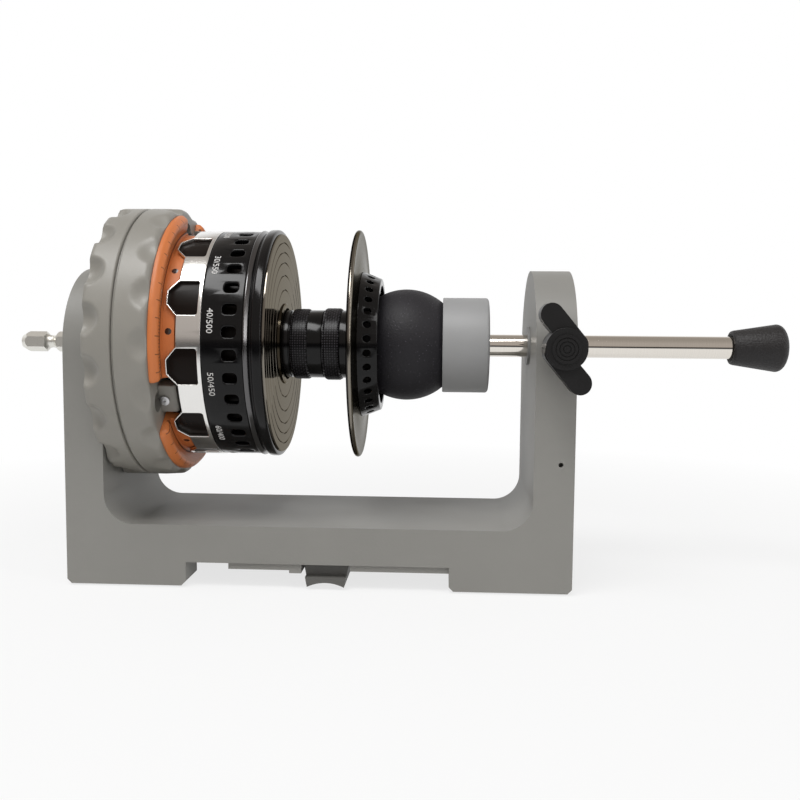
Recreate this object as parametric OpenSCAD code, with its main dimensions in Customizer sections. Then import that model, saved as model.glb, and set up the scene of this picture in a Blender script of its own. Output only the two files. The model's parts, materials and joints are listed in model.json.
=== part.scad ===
// Drill driven winder for fishing line.
// A moulded cradle carries a three jaw scroll chuck with a hexagonal drive shank.
// The chuck grips a reel spool, and a soft ball on a sliding rod centres its far end.
// Lengths are millimetres. X runs along the spindle, Z is up, the front faces -Y,
// and the origin is on the surface below the middle of the whole winder.

/* [Cradle] */
// Height of the spindle axis above the surface
axis_h = 82.5; // [78:0.5:110]
// Length of the cradle over both pillars
cradle_len = 171.3; // [168:1:220]
// Depth of the cradle from front to back
cradle_depth = 57.2; // [56:1:70]
// Thickness of the pillar at the drive end
drive_pillar_t = 13.2; // [12:0.2:18]
// Thickness of the pillar at the tail end
tail_pillar_t = 13.4; // [12:0.2:18]
// Height of the rounded pillar tops above the axis
arch_rise = 26.5; // [22:0.5:28]
// Height of the cradle floor above the surface
floor_h = 21.5; // [20:0.5:28]
// Height of the underside of the beam above the surface
under_h = 8.7; // [7.5:0.1:10]
// Radius of the two inner corners of the cradle
corner_r = 10; // [4:1:14]
// Length of each foot along the cradle
foot_len = 41; // [30:1:44]
// Depth of each foot
foot_depth = 14; // [10:1:18]

/* [Drive shank] */
// Width of the hexagonal shank across its flats
hex_af = 6.35; // [6:0.05:6.35]
// How far the shank stands out of the cradle
shank_out = 26.5; // [24:0.5:40]
// Radius of the round spindle in its bearings
spindle_r = 4; // [3.8:0.1:4.4]

/* [Chuck] */
// Outer radius of the chuck
chuck_r = 47.7; // [46.5:0.1:56]
// Length of the ring that is turned to open the jaws
ring_len = 9.5; // [9.5:0.5:14]
// Length of the chuck body
body_len = 10.5; // [10:0.5:14]
// Width of the seam between the ring and the body
seam_w = 0.8; // [0.5:0.1:1.5]
// Number of finger scallops round each edge
scallops = 18; // [9:1:20]
// Angle that each jaw covers to either side of its middle
jaw_half = 50; // [40:1:51]
// How far the jaws draw in to let the spool go
jaw_travel = 2.5; // [1:0.1:2.5]
// Rise of the scroll for one turn
scroll_pitch = 6; // [5.6:0.1:6.4]

/* [Spool] */
// Outer radius of the skirt
skirt_r = 40; // [39:0.5:42]
// Length of the skirt
skirt_len = 11.6; // [11:0.2:14]
// Number of windows round the skirt
windows = 11; // [6:1:12]
// Length of the black band
band_len = 14.6; // [10:0.2:20]
// Number of holes round the band
band_holes = 33; // [12:1:36]
// How far the rims of the spool stand out of the skirt
rim_step = 0.5; // [0.5:0.1:4]
// Share of the free length that the arbor takes, where the rest lets the ball draw back
arbor_share = 0.65; // [0.5:0.01:0.65]
// Radius of the arbor
arbor_r = 12.4; // [11:0.2:13]
// Number of holes round the cup on the far rim
cup_holes = 32; // [12:1:32]

/* [Tail support] */
// Radius of the soft ball
ball_r = 19.8; // [19.2:0.2:21]
// Radius of the bearing housing behind the ball
housing_r = 16.9; // [15.5:0.1:18]
// Length of the bearing housing
housing_len = 16.2; // [15.6:0.2:20]
// Radius of the sliding rod
rod_r = 4; // [3.8:0.1:4.4]
// How far the rod and its cap stand out of the tail pillar
rod_out = 76.5; // [50:0.5:120]
// Largest radius of the cap on the rod
cap_r = 8.4; // [7.6:0.2:10]
// Length of the cap on the rod
cap_len = 19; // [15:0.5:26]

/* [Clamp knob] */
// Radius of the hub of the knob
knob_hub_r = 7.3; // [6.6:0.1:8]
// Distance from the hub to the middle of each wing tip
wing_reach = 12.3; // [10:0.1:18]
// Radius of each wing tip
wing_tip_r = 3.9; // [2.4:0.1:4]
// Thickness of the knob
knob_t = 15.6; // [12:0.2:18]

/* [Hidden] */

// Smoothness of round surfaces
$fn = 64;
// Overrun of every cut
over = 0.6;
// Clearance of a shaft that turns or slides in its bore
run_gap = 0.05;
// Clearance between faces that slide or turn past each other
face_gap = 0.2;
// Clearance of a screw in a plain hole
screw_gap = 0.2;

// Cradle
side_wall = 3;
roof_t = 4;
rib_t = 2.5;
cells = 6;
foot_chamfer = 1.5;
pocket_rise = 38;
pad_drop = 2.2;
pad_set_back = 0.8;
pad_depth = 12;
pad_start = 55.5;
step_start = 76.3;
step_drop = 1;
bay_start = 80.4;
bay_len = 16.6;
rubber_t = 1.6;
rubber_proud = 0.6;
rubber_margin = 3;
pin_hole_r = 0.8;
pin_hole_depth = 4;
pin_hole_drop = 38.5;
pin_hole_side = 1.1;

// Saddle under the beam
saddle_r = 14;
saddle_w = 12.6;
saddle_top_w = 15.4;
saddle_clear = 1;
saddle_lip = 3;
saddle_lip_h = 3.4;
saddle_roof = 12.5;
saddle_gap = 0.3;
m4_r = 2;
m4_head_r = 3.5;
m4_head_t = 2.4;
insert_r = 2.9;
insert_len = 6;

// Bearings, as an eight by twenty-two by seven millimetre ball bearing
bearing_r = 11;
bearing_w = 7;
race_outer_in = 9.2;
race_inner_out = 5.9;
ball_pitch_r = 7.55;
steel_ball_r = 1.95;
race_gap = 0.1;
steel_balls = 7;
clip_well_r = 7;
clip_well_t = 2;
clip_t = 0.8;
clip_r = 6.2;
clip_groove = 0.6;
bush_r = 6;
washer_r = 6.4;

// Shank
shank_tip = 2.4;
shank_tip_r = 2.3;
neck_at = 10.9;
neck_r = 2.2;
neck_cut_r = 2.6;
spindle_end = 29.2;

// Chuck
chuck_gap = 0.5;
hub_r = 16;
hub_flange_r = 21.5;
hub_flange_t = 1.5;
web_t = 3.8;
ring_wall = 4.2;
scroll_base_t = 2.8;
scroll_r0 = 20;
scroll_margin = 0.3;
land_w = 2.8;
tooth_w = 2.4;
tooth_angle = 7;
tooth_steps = 4;
teeth = 3;
spiral_steps = 48;
body_cap_t = 4.5;
rim_chamfer = 2;
spigot_step = 1;
scallop_r = 6.5;
scallop_out = 3.4;
scallop_at = 0.3;
soft_scallop_r = 9;
soft_scallop_out = 7;
soft_scallop_at = 0.6;
slot_w = 11.2;
slot_neck_w = 7.2;
slot_slack = 4.5;
slot_shelf = 5.1;
slide_gap = 0.1;
slide_hub_gap = 5.5;
slide_rim_gap = 3.9;
neck_behind = 2.4;
neck_ahead = 8;
m3_r = 1.5;
m3_head_r = 2.8;
m3_head_t = 1.6;
scroll_screw_in = 15.7;
hub_screw_at = 10.6;
hub_screw_len = 10;
gap_hole_r = 3.3;
gap_hole_in = 3.1;
gap_hole_depth = 4;
block_gap = 0.7;
block_t = 5;
block_h = 6;
block_slope = 1.4;
guide_screw_r = 1.1;
guide_head_r = 1.7;
guide_head_t = 0.8;
guide_screw_len = 4;
guide_screw_up = 1.9;

// Jaws, with the first one facing the front and a little up
jaw_first = 148;
jaw_step = 120;
jaw_plate_in = 3;
jaw_screw_in = 7;
ridge_out = 3.2;
ridge_round = 2.4;
ridge_rise = 0.5;
ridge_turn = 105;
ridge_steps = 9;
crease_in = 0.4;
crease_h = 2;
end_round = 1.6;
wall_fit = 0.3;
wall_foot_h = 2.4;
wall_draft = 0.2;
wall_t = 2.7;
wall_h = 6.4;
jaw_end_angle = 1.5;
pin_r = 1.1;
pin_len = 2.2;
pin_angles = [25.5, -6.9, -27.5];
jaw_screw_len = 7.4;

// Spool
skirt_seat = 3.7;
skirt_t = 1.2;
tab_h = 3.7;
window_turn = 26.5;
window_rim = 0.8;
window_tip_w = 1.9;
window_w = 5.6;
window_shoulder = 3;
window_len = 9.5;
window_corner = 0.8;
drum_gap = 4;
drum_in = 4.4;
drum_t = 2;
band_t = 2.5;
band_step = 0.2;
hole_len = 5;
hole_w = 3.6;
hole_round = 1.3;
hole_at = 9.1;
rim_len = 5.2;
rim_round = 1.2;
rim_web = 2.4;
face_t = 0.7;
face_inset = 0.2;
groove_shares = [0.494, 0.625, 0.74, 0.833, 0.92];
groove_w = 0.5;
groove_depth = 0.25;
boss_r = 14.5;
boss_h = 0.8;
arbor_wall = 3.4;
arbor_shares = [0, 0.05, 0.14, 0.16, 0.38, 0.58, 0.8, 0.9, 1];
arbor_groove = 1;
knurl_depth = 0.45;
knurls = 48;
flange_t = 2.1;
flange_lip = 0.9;
flange_dish = 0.6;
flange_bore = 14;
cup_len = 6.8;
cup_r0 = 26;
cup_r1 = 23.4;
cup_wall = 2.4;
cup_hole_r = 1.2;
cup_hole_at = 3.3;
cup_chamfer = 0.8;

// Tail support
ball_seat = 0.5;
ball_back = 15.2;
ball_front = 12.9;
ball_well_r = 7.5;
ball_well = 6;
housing_face = 1.2;
housing_hole_r = 6.6;
housing_round = 1;
screw_washer_t = 0.8;
axle_screw_len = 12;
cap_small_r = 6.1;
cap_lip = 1.2;
cap_dome = 3.4;
cap_fullness = 0.6;
rod_bush_t = 1.5;
rod_flange_t = 0.8;
rod_flange_r = 6.8;
rod_chamfer = 0.6;

// Knob
stud_r = 3;
knob_insert_r = 4.2;
knob_insert_len = 10;
knob_gap = 0.6;
knob_side = 1;
knob_foot_r = 5.4;
knob_foot_t = 4;
wing_t = 7.6;
wing_set_back = 1.2;
wing_offset = 3.9;
wing_angle = 113;
knob_cap_r = 4.6;
knob_cap_t = 0.9;
knob_cap_proud = 0.5;
knob_rings = 3;
knob_ring_w = 0.35;
knob_ring_cut = 0.3;
stud_in_knob = 11;

// Stations along the spindle, counted from the outer face of the drive pillar
ring_x = drive_pillar_t + chuck_gap;
seam_x = ring_x + ring_len;
body_x = seam_x + seam_w;
face_x = body_x + body_len;
jaw_x = face_x + slide_gap;
skirt_x = face_x + skirt_seat;
band_x = skirt_x + skirt_len;
rim_x = band_x + band_len;
spool_face_x = rim_x + rim_len;
tail_x = cradle_len - tail_pillar_t;
tail_len = flange_t + ball_seat + ball_back + ball_front + housing_len;
arbor_len = arbor_share * (tail_x - spool_face_x - tail_len);
flange_x = spool_face_x + arbor_len;
cup_x = flange_x + flange_t;
ball_x = cup_x + ball_seat;
ball_mid = ball_x + ball_back;
housing_x = ball_mid + ball_front;
housing_end = housing_x + housing_len;
cap_end = cradle_len + rod_out;
cap_x = cap_end - cap_len;
bearing_x = drive_pillar_t - bearing_w;
tail_bearing_x = housing_end - housing_face - 2 * bearing_w - race_gap;
rod_start = tail_bearing_x - face_gap;
knob_x = cradle_len - tail_pillar_t / 2 + knob_side;
// The whole winder is centred on the origin
x_left = shank_out - (shank_out + cap_end) / 2;
front_y = -cradle_depth / 2;
arch_r = cradle_depth / 2;
arch_mid = axis_h + arch_rise - arch_r;
boss_top = floor_h - roof_t;
scroll_x = ring_x + web_t;
land_x = scroll_x + scroll_base_t;
land_top = seam_x - face_gap;
spigot_x = seam_x + face_gap;
jaw_wall_r = skirt_r - skirt_t - wall_fit;
rim_r = skirt_r + rim_step;
drum_r = skirt_r - drum_in;
ridge_r = skirt_r + ridge_out;
crease_r = skirt_r - crease_in;
block_in = jaw_wall_r - block_t;
gap_hole_at = (jaw_wall_r + chuck_r) / 2 - gap_hole_in;
slide_in = hub_r + jaw_travel + slide_hub_gap;
slide_out = chuck_r - slide_rim_gap;
jaw_screw_at = skirt_r - jaw_screw_in;
jaw_in = jaw_screw_at - jaw_plate_in;
neck_in = jaw_screw_at - neck_behind;
neck_out = jaw_screw_at + neck_ahead;
scroll_screw_at = chuck_r - scroll_screw_in;
jaw_reach = jaw_half - jaw_end_angle;
// Half the angle of a stop, so that the jaws stay clear of it when they are drawn in
block_half = jaw_step / 2 - jaw_reach - atan(jaw_travel * sin(jaw_reach) / block_in) - block_gap;
hub_end = face_x - body_cap_t;
slot_start = slide_in - jaw_travel - slot_slack;
saddle_mid = bay_start + bay_len / 2;

// Places children on the spindle axis: their x is back, their y is up, their z runs to the tail
module on_axis(x = 0) {
    translate([x_left + x, 0, axis_h]) rotate([90, 0, 90]) children();
}

// Points children outwards from the axis at an angle: their x is tangential, their y is axial
module radial(angle, r = 0) {
    rotate([0, 0, angle]) translate([r, 0, 0]) rotate([90, 0, 90]) children();
}

// Cylinder along the z of its place
module rod(r, len, start = 0) {
    translate([0, 0, start]) cylinder(r = r, h = len);
}

// Tube along the z of its place
module tube(r_in, r_out, len, start = 0) {
    difference() {
        rod(r_out, len, start);
        rod(r_in, len + 2 * over, start - over);
    }
}

// Rectangle with round corners, centred
module round_rect(w, h, r) {
    square([w - 2 * r, h], center = true);
    square([w, h - 2 * r], center = true);
    for (sx = [-1, 1], sy = [-1, 1]) {
        translate([sx * (w / 2 - r), sy * (h / 2 - r)]) circle(r = r);
    }
}

// Two circles joined by their outer tangents, along x
module tangent_bar(len, r0, r1) {
    lean = asin((r0 - r1) / len);
    circle(r = r0);
    translate([len, 0]) circle(r = r1);
    polygon([
        [r0 * sin(lean), r0 * cos(lean)],
        [len + r1 * sin(lean), r1 * cos(lean)],
        [len + r1 * sin(lean), -r1 * cos(lean)],
        [r0 * sin(lean), -r0 * cos(lean)]
    ]);
}

// Block placed by its lowest corner, counted along x from the drive pillar
module block(x, y, z, size) {
    translate([x_left + x, y, z]) cube(size);
}

// Side outline of the cradle: beam and pillars with round inner corners
module cradle_outline() {
    gap = cradle_len - drive_pillar_t - tail_pillar_t;
    difference() {
        translate([0, under_h]) square([cradle_len, axis_h + arch_rise - under_h]);
        translate([drive_pillar_t, floor_h + corner_r]) square([gap, axis_h + arch_rise]);
        translate([drive_pillar_t + corner_r, floor_h]) square([gap - 2 * corner_r, corner_r + over]);
        for (x = [drive_pillar_t + corner_r, tail_x - corner_r]) {
            translate([x, floor_h + corner_r]) circle(r = corner_r);
        }
    }
}

// End outline of the cradle: upright sides with a round top
module cradle_end() {
    translate([front_y, 0]) square([cradle_depth, arch_mid]);
    translate([0, arch_mid]) circle(r = arch_r);
}

// Two hollows side by side between the front and back feet, parted by a rib and open below
module twin_hollow(x, z, size) {
    w = arch_r - foot_depth - rib_t / 2;
    for (y = [-w - rib_t / 2, rib_t / 2]) {
        block(x, y, z, [size[0], w, size[1]]);
    }
}

// Hollows in a pillar
module pillar_pocket(x, t) {
    rise = min(pocket_rise, axis_h - bearing_r - 2 * side_wall - under_h);
    twin_hollow(x + side_wall, under_h - over, [t - 2 * side_wall, rise + over]);
}

// Hollows under the beam, parted by ribs, but none over the saddle
module beam_cells() {
    start = drive_pillar_t + rib_t;
    cell = (cradle_len - drive_pillar_t - tail_pillar_t - rib_t) / cells;
    for (i = [0 : cells - 1]) {
        x0 = start + i * cell;
        x1 = x0 + cell - rib_t;
        left = x0 < bay_start ? min(x1, bay_start - rib_t) : max(x0, bay_start + bay_len + rib_t);
        low = x0 < bay_start ? x0 : left;
        high = x0 < bay_start ? left : x1;
        if (high - low > rib_t) {
            twin_hollow(low, under_h - over, [high - low, boss_top - under_h + over]);
        }
    }
}

// Side outline of a foot, with its lower corners cut off
module foot_outline() {
    polygon([
        [0, foot_chamfer], [foot_chamfer, 0], [foot_len - foot_chamfer, 0],
        [foot_len, foot_chamfer], [foot_len, under_h], [0, under_h]
    ]);
}

module cradle_frame() color([0.50, 0.495, 0.475]) difference() {
    union() {
        intersection() {
            translate([x_left, arch_r, 0]) rotate([90, 0, 0]) linear_extrude(cradle_depth) cradle_outline();
            translate([x_left, 0, 0]) rotate([90, 0, 90]) linear_extrude(cradle_len) cradle_end();
        }
        for (x = [0, cradle_len - foot_len], y = [-arch_r, arch_r - foot_depth]) {
            translate([x_left + x, y + foot_depth, rubber_proud])
                rotate([90, 0, 0]) linear_extrude(foot_depth) foot_outline();
        }
        for (y = [-arch_r + pad_set_back, arch_r - pad_set_back - pad_depth]) {
            block(pad_start, y, under_h - pad_drop, [bay_start - pad_start, pad_depth, pad_drop + over]);
            block(step_start, y, under_h - pad_drop - step_drop,
                [bay_start - step_start, pad_depth, pad_drop]);
            block(bay_start + bay_len, y, under_h - pad_drop,
                [cradle_len - foot_len - bay_start - bay_len + over, pad_depth, pad_drop + over]);
        }
    }
    pillar_pocket(0, drive_pillar_t);
    pillar_pocket(tail_x, tail_pillar_t);
    beam_cells();
    block(bay_start, foot_depth - arch_r, under_h - over,
        [bay_len, cradle_depth - 2 * foot_depth, saddle_roof - under_h + over]);
    translate([x_left + saddle_mid, 0, saddle_roof - over]) cylinder(r = insert_r, h = insert_len + over);
    foot_places() translate([0, 0, -over]) linear_extrude(over + rubber_t) pad_outline(0);
    on_axis() {
        rod(spindle_r + screw_gap, drive_pillar_t + 2 * over, -over);
        rod(clip_well_r, clip_well_t + over, -over);
        rod(bush_r, bearing_x - clip_well_t + over, clip_well_t);
        rod(bearing_r, bearing_w + over, bearing_x);
        rod(rod_r + rod_bush_t, tail_pillar_t + 2 * over, tail_x - over);
    }
    knob_place() {
        rod(stud_r + screw_gap, arch_r, 0);
        rod(knob_insert_r, knob_insert_len + over, arch_r - knob_insert_len);
        translate([pin_hole_side, -pin_hole_drop, arch_r - pin_hole_depth])
            cylinder(r = pin_hole_r, h = pin_hole_depth + over);
    }
}

// Places children at the middle of each foot, on its underside
module foot_places() {
    for (x = [foot_len / 2, cradle_len - foot_len / 2], y = [-1, 1]) {
        translate([x_left + x, y * (arch_r - foot_depth / 2), rubber_proud]) children();
    }
}

module pad_outline(gap) {
    w = foot_len - 2 * rubber_margin - 2 * gap;
    d = foot_depth - 2 * rubber_margin - 2 * gap;
    round_rect(w, d, rubber_margin / 2);
}

module foot_pads() color([0.08, 0.08, 0.08]) foot_places() {
    translate([0, 0, -rubber_proud]) linear_extrude(rubber_t + rubber_proud) pad_outline(run_gap);
}

// Places children on the clamp knob's axis: z points to the front, y is up
module knob_place() {
    translate([x_left + knob_x, 0, axis_h]) rotate([90, 0, 0]) children();
}

module saddle_outline() {
    rise = saddle_r - sqrt(saddle_r * saddle_r - saddle_w * saddle_w / 4);
    difference() {
        polygon([
            [-saddle_w / 2, saddle_clear], [saddle_w / 2, saddle_clear],
            [saddle_top_w / 2, under_h - saddle_gap], [-saddle_top_w / 2, under_h - saddle_gap]
        ]);
        translate([0, saddle_clear + rise - saddle_r]) circle(r = saddle_r);
    }
}

module saddle_shoe() color([0.44, 0.44, 0.43]) {
    depth = cradle_depth - 2 * saddle_gap;
    crown = saddle_clear + saddle_r - sqrt(saddle_r * saddle_r - saddle_w * saddle_w / 4);
    inner = cradle_depth - 2 * foot_depth - 2 * saddle_gap;
    translate([x_left + saddle_mid, 0, 0]) difference() {
        union() {
            translate([0, depth / 2, 0]) rotate([90, 0, 0]) linear_extrude(depth) saddle_outline();
            translate([-saddle_top_w / 2, -inner / 2, under_h - saddle_gap - over])
                cube([saddle_top_w, inner, saddle_roof - under_h + over]);
        }
        for (y = [-depth / 2 - over, depth / 2 - saddle_lip]) {
            translate([-bay_len / 2, y, saddle_clear + saddle_lip_h])
                cube([bay_len, saddle_lip + over, under_h]);
        }
        translate([0, 0, -over]) cylinder(r = m4_r + screw_gap, h = saddle_roof + 2 * over);
        translate([0, 0, -over]) cylinder(r = m4_head_r + screw_gap, h = crown + m4_head_t + 2 * over);
    }
}

module saddle_screw() color([0.62, 0.62, 0.63]) {
    crown = saddle_clear + saddle_r - sqrt(saddle_r * saddle_r - saddle_w * saddle_w / 4);
    seat = crown + m4_head_t + over;
    translate([x_left + saddle_mid, 0, 0]) difference() {
        union() {
            translate([0, 0, seat - m4_head_t]) cylinder(r = m4_head_r, h = m4_head_t);
            translate([0, 0, seat - over]) cylinder(r = m4_r, h = saddle_roof + insert_len - seat);
        }
        translate([0, 0, seat - m4_head_t - over])
            cylinder(r = m4_r / 2, h = over + m4_head_t / 2, $fn = 6);
    }
}

module saddle_insert() color([0.72, 0.56, 0.25]) {
    translate([x_left + saddle_mid, 0, saddle_roof]) difference() {
        cylinder(r = insert_r, h = insert_len);
        translate([0, 0, -over]) cylinder(r = m4_r + run_gap, h = insert_len + 2 * over);
    }
}

module spindle_bush() color([0.68, 0.50, 0.28]) on_axis() {
    tube(spindle_r + run_gap, bush_r, bearing_x - clip_well_t, clip_well_t);
}

module bearing_outer(x) difference() {
    tube(race_outer_in, bearing_r, bearing_w, x);
    translate([0, 0, x + bearing_w / 2]) ball_track();
}

module bearing_inner(x, r) difference() {
    tube(r + run_gap, race_inner_out, bearing_w, x);
    translate([0, 0, x + bearing_w / 2]) ball_track();
}

module ball_track() {
    rotate_extrude() translate([ball_pitch_r, 0]) circle(r = steel_ball_r + race_gap);
}

module bearing_balls(x) {
    for (i = [0 : steel_balls - 1]) {
        rotate([0, 0, 360 * i / steel_balls])
            translate([ball_pitch_r, 0, x + bearing_w / 2]) sphere(r = steel_ball_r);
    }
}

module spindle_bearing_outer() color([0.70, 0.70, 0.71]) on_axis() bearing_outer(bearing_x);
module spindle_bearing_inner() color([0.72, 0.72, 0.73]) on_axis() bearing_inner(bearing_x, spindle_r);
module spindle_bearing_balls() color([0.80, 0.80, 0.81]) on_axis() bearing_balls(bearing_x);

module rod_bush() color([0.85, 0.84, 0.80]) difference() {
    on_axis() difference() {
        union() {
            rod(rod_r + rod_bush_t, tail_pillar_t, tail_x);
            rod(rod_flange_r, rod_flange_t, tail_x - rod_flange_t);
        }
        rod(rod_r + run_gap, tail_pillar_t + rod_flange_t + 2 * over, tail_x - rod_flange_t - over);
    }
    knob_place() rod(stud_r + screw_gap, arch_r, 0);
}

module knob_insert() color([0.72, 0.56, 0.25]) knob_place() {
    tube(stud_r + run_gap, knob_insert_r, knob_insert_len, arch_r - knob_insert_len);
}

// Hexagonal shank with its latch groove, going over into the round spindle
module drive_shank() color([0.62, 0.62, 0.63]) on_axis() difference() {
    corner_to_corner = hex_af / cos(30);
    union() {
        intersection() {
            rotate([0, 0, 30]) cylinder(d = corner_to_corner, h = shank_out, $fn = 6);
            rod(corner_to_corner, shank_out);
        }
        mirror([0, 0, 1]) intersection() {
            rotate([0, 0, 30]) cylinder(d = corner_to_corner, h = shank_out, $fn = 6);
            union() {
                rod(corner_to_corner, shank_out - shank_tip);
                translate([0, 0, shank_out - shank_tip])
                    cylinder(r1 = corner_to_corner / 2, r2 = shank_tip_r, h = shank_tip);
            }
        }
        rod(spindle_r, spindle_end);
    }
    // Round groove near the tip, for the latch of a quick change holder
    rotate_extrude() translate([neck_r + neck_cut_r, neck_at - shank_out]) circle(r = neck_cut_r);
    tube(spindle_r - clip_groove, clip_r, clip_t, (clip_well_t - clip_t) / 2);
}

module retaining_clip() color([0.30, 0.30, 0.31]) on_axis() difference() {
    start = (clip_well_t - clip_t) / 2 + run_gap;
    tube(spindle_r - clip_groove + run_gap, clip_r, clip_t - 2 * run_gap, start);
    translate([0, -spindle_r / 2, 0]) cube([clip_r + over, spindle_r, clip_well_t]);
}

module thrust_washer() color([0.85, 0.84, 0.80]) on_axis() {
    tube(spindle_r + run_gap, washer_r, chuck_gap, drive_pillar_t);
}

module chuck_hub() color([0.55, 0.55, 0.56]) on_axis() difference() {
    union() {
        rod(hub_r, hub_end - ring_x, ring_x);
        rod(hub_flange_r, hub_flange_t, ring_x);
    }
    rod(spindle_r, hub_end, ring_x - over);
    for (i = [0 : 2]) {
        rotate([0, 0, jaw_step * i]) translate([hub_screw_at, 0, face_x - hub_screw_len])
            cylinder(r = m4_r, h = hub_screw_len);
    }
}

// Turns children to the middle of every gap between jaws
module at_gaps() {
    for (i = [0 : 2]) {
        rotate([0, 0, jaw_first + jaw_step * (i + 0.5)]) children();
    }
}

// Soft scallops round an edge of the chuck, cut by balls
module scallop_row(x, r, out, turn) {
    for (i = [0 : scallops - 1]) {
        rotate([0, 0, 360 * (i + turn) / scallops]) translate([chuck_r + out, 0, x]) sphere(r = r);
    }
}

module chuck_body() color([0.60, 0.59, 0.565]) on_axis() difference() {
    rotate_extrude() polygon([
        [0, hub_end], [hub_r + run_gap, hub_end], [hub_r + run_gap, spigot_x],
        [chuck_r - spigot_step, spigot_x], [chuck_r - spigot_step, body_x], [chuck_r, body_x],
        [chuck_r, face_x - rim_chamfer], [chuck_r - rim_chamfer / 2, face_x - rim_chamfer / 4],
        [chuck_r - rim_chamfer, face_x], [0, face_x]
    ]);
    rod(spindle_r + screw_gap, body_cap_t + 2 * over, hub_end - over);
    scallop_row(face_x + soft_scallop_at, soft_scallop_r, soft_scallop_out, 0);
    for (i = [0 : 2]) {
        rotate([0, 0, jaw_first + jaw_step * i]) {
            translate([slot_start, -slot_w / 2, spigot_x - over])
                cube([slide_out + face_gap - slot_start, slot_w, slot_shelf + over]);
            translate([slot_start, -slot_neck_w / 2, spigot_x])
                cube([neck_out + face_gap - slot_start, slot_neck_w, face_x - spigot_x + over]);
        }
        rotate([0, 0, jaw_step * i]) translate([hub_screw_at, 0, 0]) {
            rod(m4_r + screw_gap, face_x + over);
            rod(m4_head_r + screw_gap, m4_head_t + over, face_x - m4_head_t);
        }
    }
    at_gaps() translate([gap_hole_at, 0, 0])
        rod(gap_hole_r, gap_hole_depth + over, face_x - gap_hole_depth);
}

module hub_screws() color([0.30, 0.30, 0.31]) on_axis() for (i = [0 : 2]) {
    rotate([0, 0, jaw_step * i]) translate([hub_screw_at, 0, 0]) difference() {
        union() {
            rod(m4_head_r, m4_head_t, face_x - m4_head_t);
            rod(m4_r, hub_screw_len - 2 * run_gap, face_x - hub_screw_len + run_gap);
        }
        translate([0, 0, face_x - m4_head_t / 2]) cylinder(r = m4_r, h = m4_head_t, $fn = 6);
    }
}

// Grey stops in the gaps between the jaws
module guide_blocks() color([0.45, 0.45, 0.44]) on_axis() at_gaps() difference() {
    rotate([0, 0, -block_half]) rotate_extrude(angle = 2 * block_half) polygon([
        [block_in, face_x], [jaw_wall_r, face_x], [jaw_wall_r, face_x + block_h - block_slope],
        [jaw_wall_r - block_slope / 2, face_x + block_h], [block_in, face_x + block_h]
    ]);
    radial(0, jaw_wall_r - guide_screw_len) translate([0, face_x + guide_screw_up]) {
        cylinder(r = guide_screw_r + run_gap, h = guide_screw_len + over);
    }
}

module guide_screws() color([0.72, 0.72, 0.73]) on_axis() at_gaps() {
    radial(0, jaw_wall_r - guide_screw_len) translate([0, face_x + guide_screw_up]) difference() {
        union() {
            cylinder(r = guide_screw_r, h = guide_screw_len + run_gap);
            rod(guide_head_r, guide_head_t, guide_screw_len + run_gap);
        }
        rod(guide_screw_r / 2, guide_head_t, guide_screw_len + guide_head_t / 2);
    }
}

// Ring that the hand turns, with its scalloped back edge
module grip_ring() color([0.60, 0.59, 0.565]) on_axis() difference() {
    rotate_extrude() polygon([
        [hub_r + run_gap, ring_x + hub_flange_t + face_gap],
        [hub_flange_r + face_gap, ring_x + hub_flange_t + face_gap],
        [hub_flange_r + face_gap, ring_x], [chuck_r - rim_chamfer / 2, ring_x],
        [chuck_r, ring_x + rim_chamfer / 2], [chuck_r, seam_x], [chuck_r - ring_wall, seam_x],
        [chuck_r - ring_wall, scroll_x], [hub_r + run_gap, scroll_x]
    ]);
    scallop_row(ring_x + scallop_at, scallop_r, scallop_out, 0.5);
    screw_places() {
        cylinder(r = m3_r + screw_gap, h = web_t + 2 * over);
        cylinder(r = m3_head_r + screw_gap, h = m3_head_t + over);
    }
}

// Screws that hold the scroll in the ring, from behind
module screw_places() {
    for (i = [0 : 2]) {
        rotate([0, 0, jaw_step * i]) translate([scroll_screw_at, 0, ring_x - over]) children();
    }
}

// Radius of the middle of the scroll's land at an angle
function land_mid(angle) = scroll_r0 + scroll_pitch * angle / 360;

// Points of a band that follows the scroll, from one angle to another
function scroll_band(from, to, shift, w, steps) = concat(
    [for (i = [0 : steps]) let(a = from + (to - from) * i / steps, r = land_mid(a) + shift - w / 2)
        [r * cos(a), r * sin(a)]],
    [for (i = [0 : steps]) let(a = to - (to - from) * i / steps, r = land_mid(a) + shift + w / 2)
        [r * cos(a), r * sin(a)]]
);

module scroll_plate() color([0.55, 0.55, 0.56]) on_axis() {
    plate_r = chuck_r - ring_wall - face_gap;
    last = 360 * (plate_r - scroll_margin - land_w - scroll_r0) / scroll_pitch;
    difference() {
        union() {
            rod(plate_r, scroll_base_t, scroll_x);
            translate([0, 0, scroll_x]) linear_extrude(land_top - scroll_x)
                polygon(scroll_band(0, last, 0, land_w, floor(spiral_steps * last / 360)));
        }
        rod(hub_r + face_gap, land_top, ring_x);
        screw_places() rod(m3_r, web_t + scroll_base_t);
    }
}

module scroll_screws() color([0.30, 0.30, 0.31]) on_axis() screw_places() difference() {
    translate([0, 0, over]) union() {
        cylinder(r = m3_head_r, h = m3_head_t);
        cylinder(r = m3_r, h = web_t + scroll_base_t - over - run_gap);
    }
    cylinder(r = m3_r / 2, h = over + m3_head_t / 2, $fn = 6);
}

// Turns children to the middle of one jaw
module at_jaw(k) {
    on_axis() rotate([0, 0, jaw_first + jaw_step * (k - 1)]) children();
}

// Points of the ridge's round top, from its outer foot over to where it slopes into the crease
ridge_arc = [for (i = [0 : ridge_steps]) let(a = ridge_turn * i / ridge_steps)
    [ridge_r + ridge_round * cos(a), jaw_x + ridge_rise + ridge_round * sin(a)]];

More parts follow.
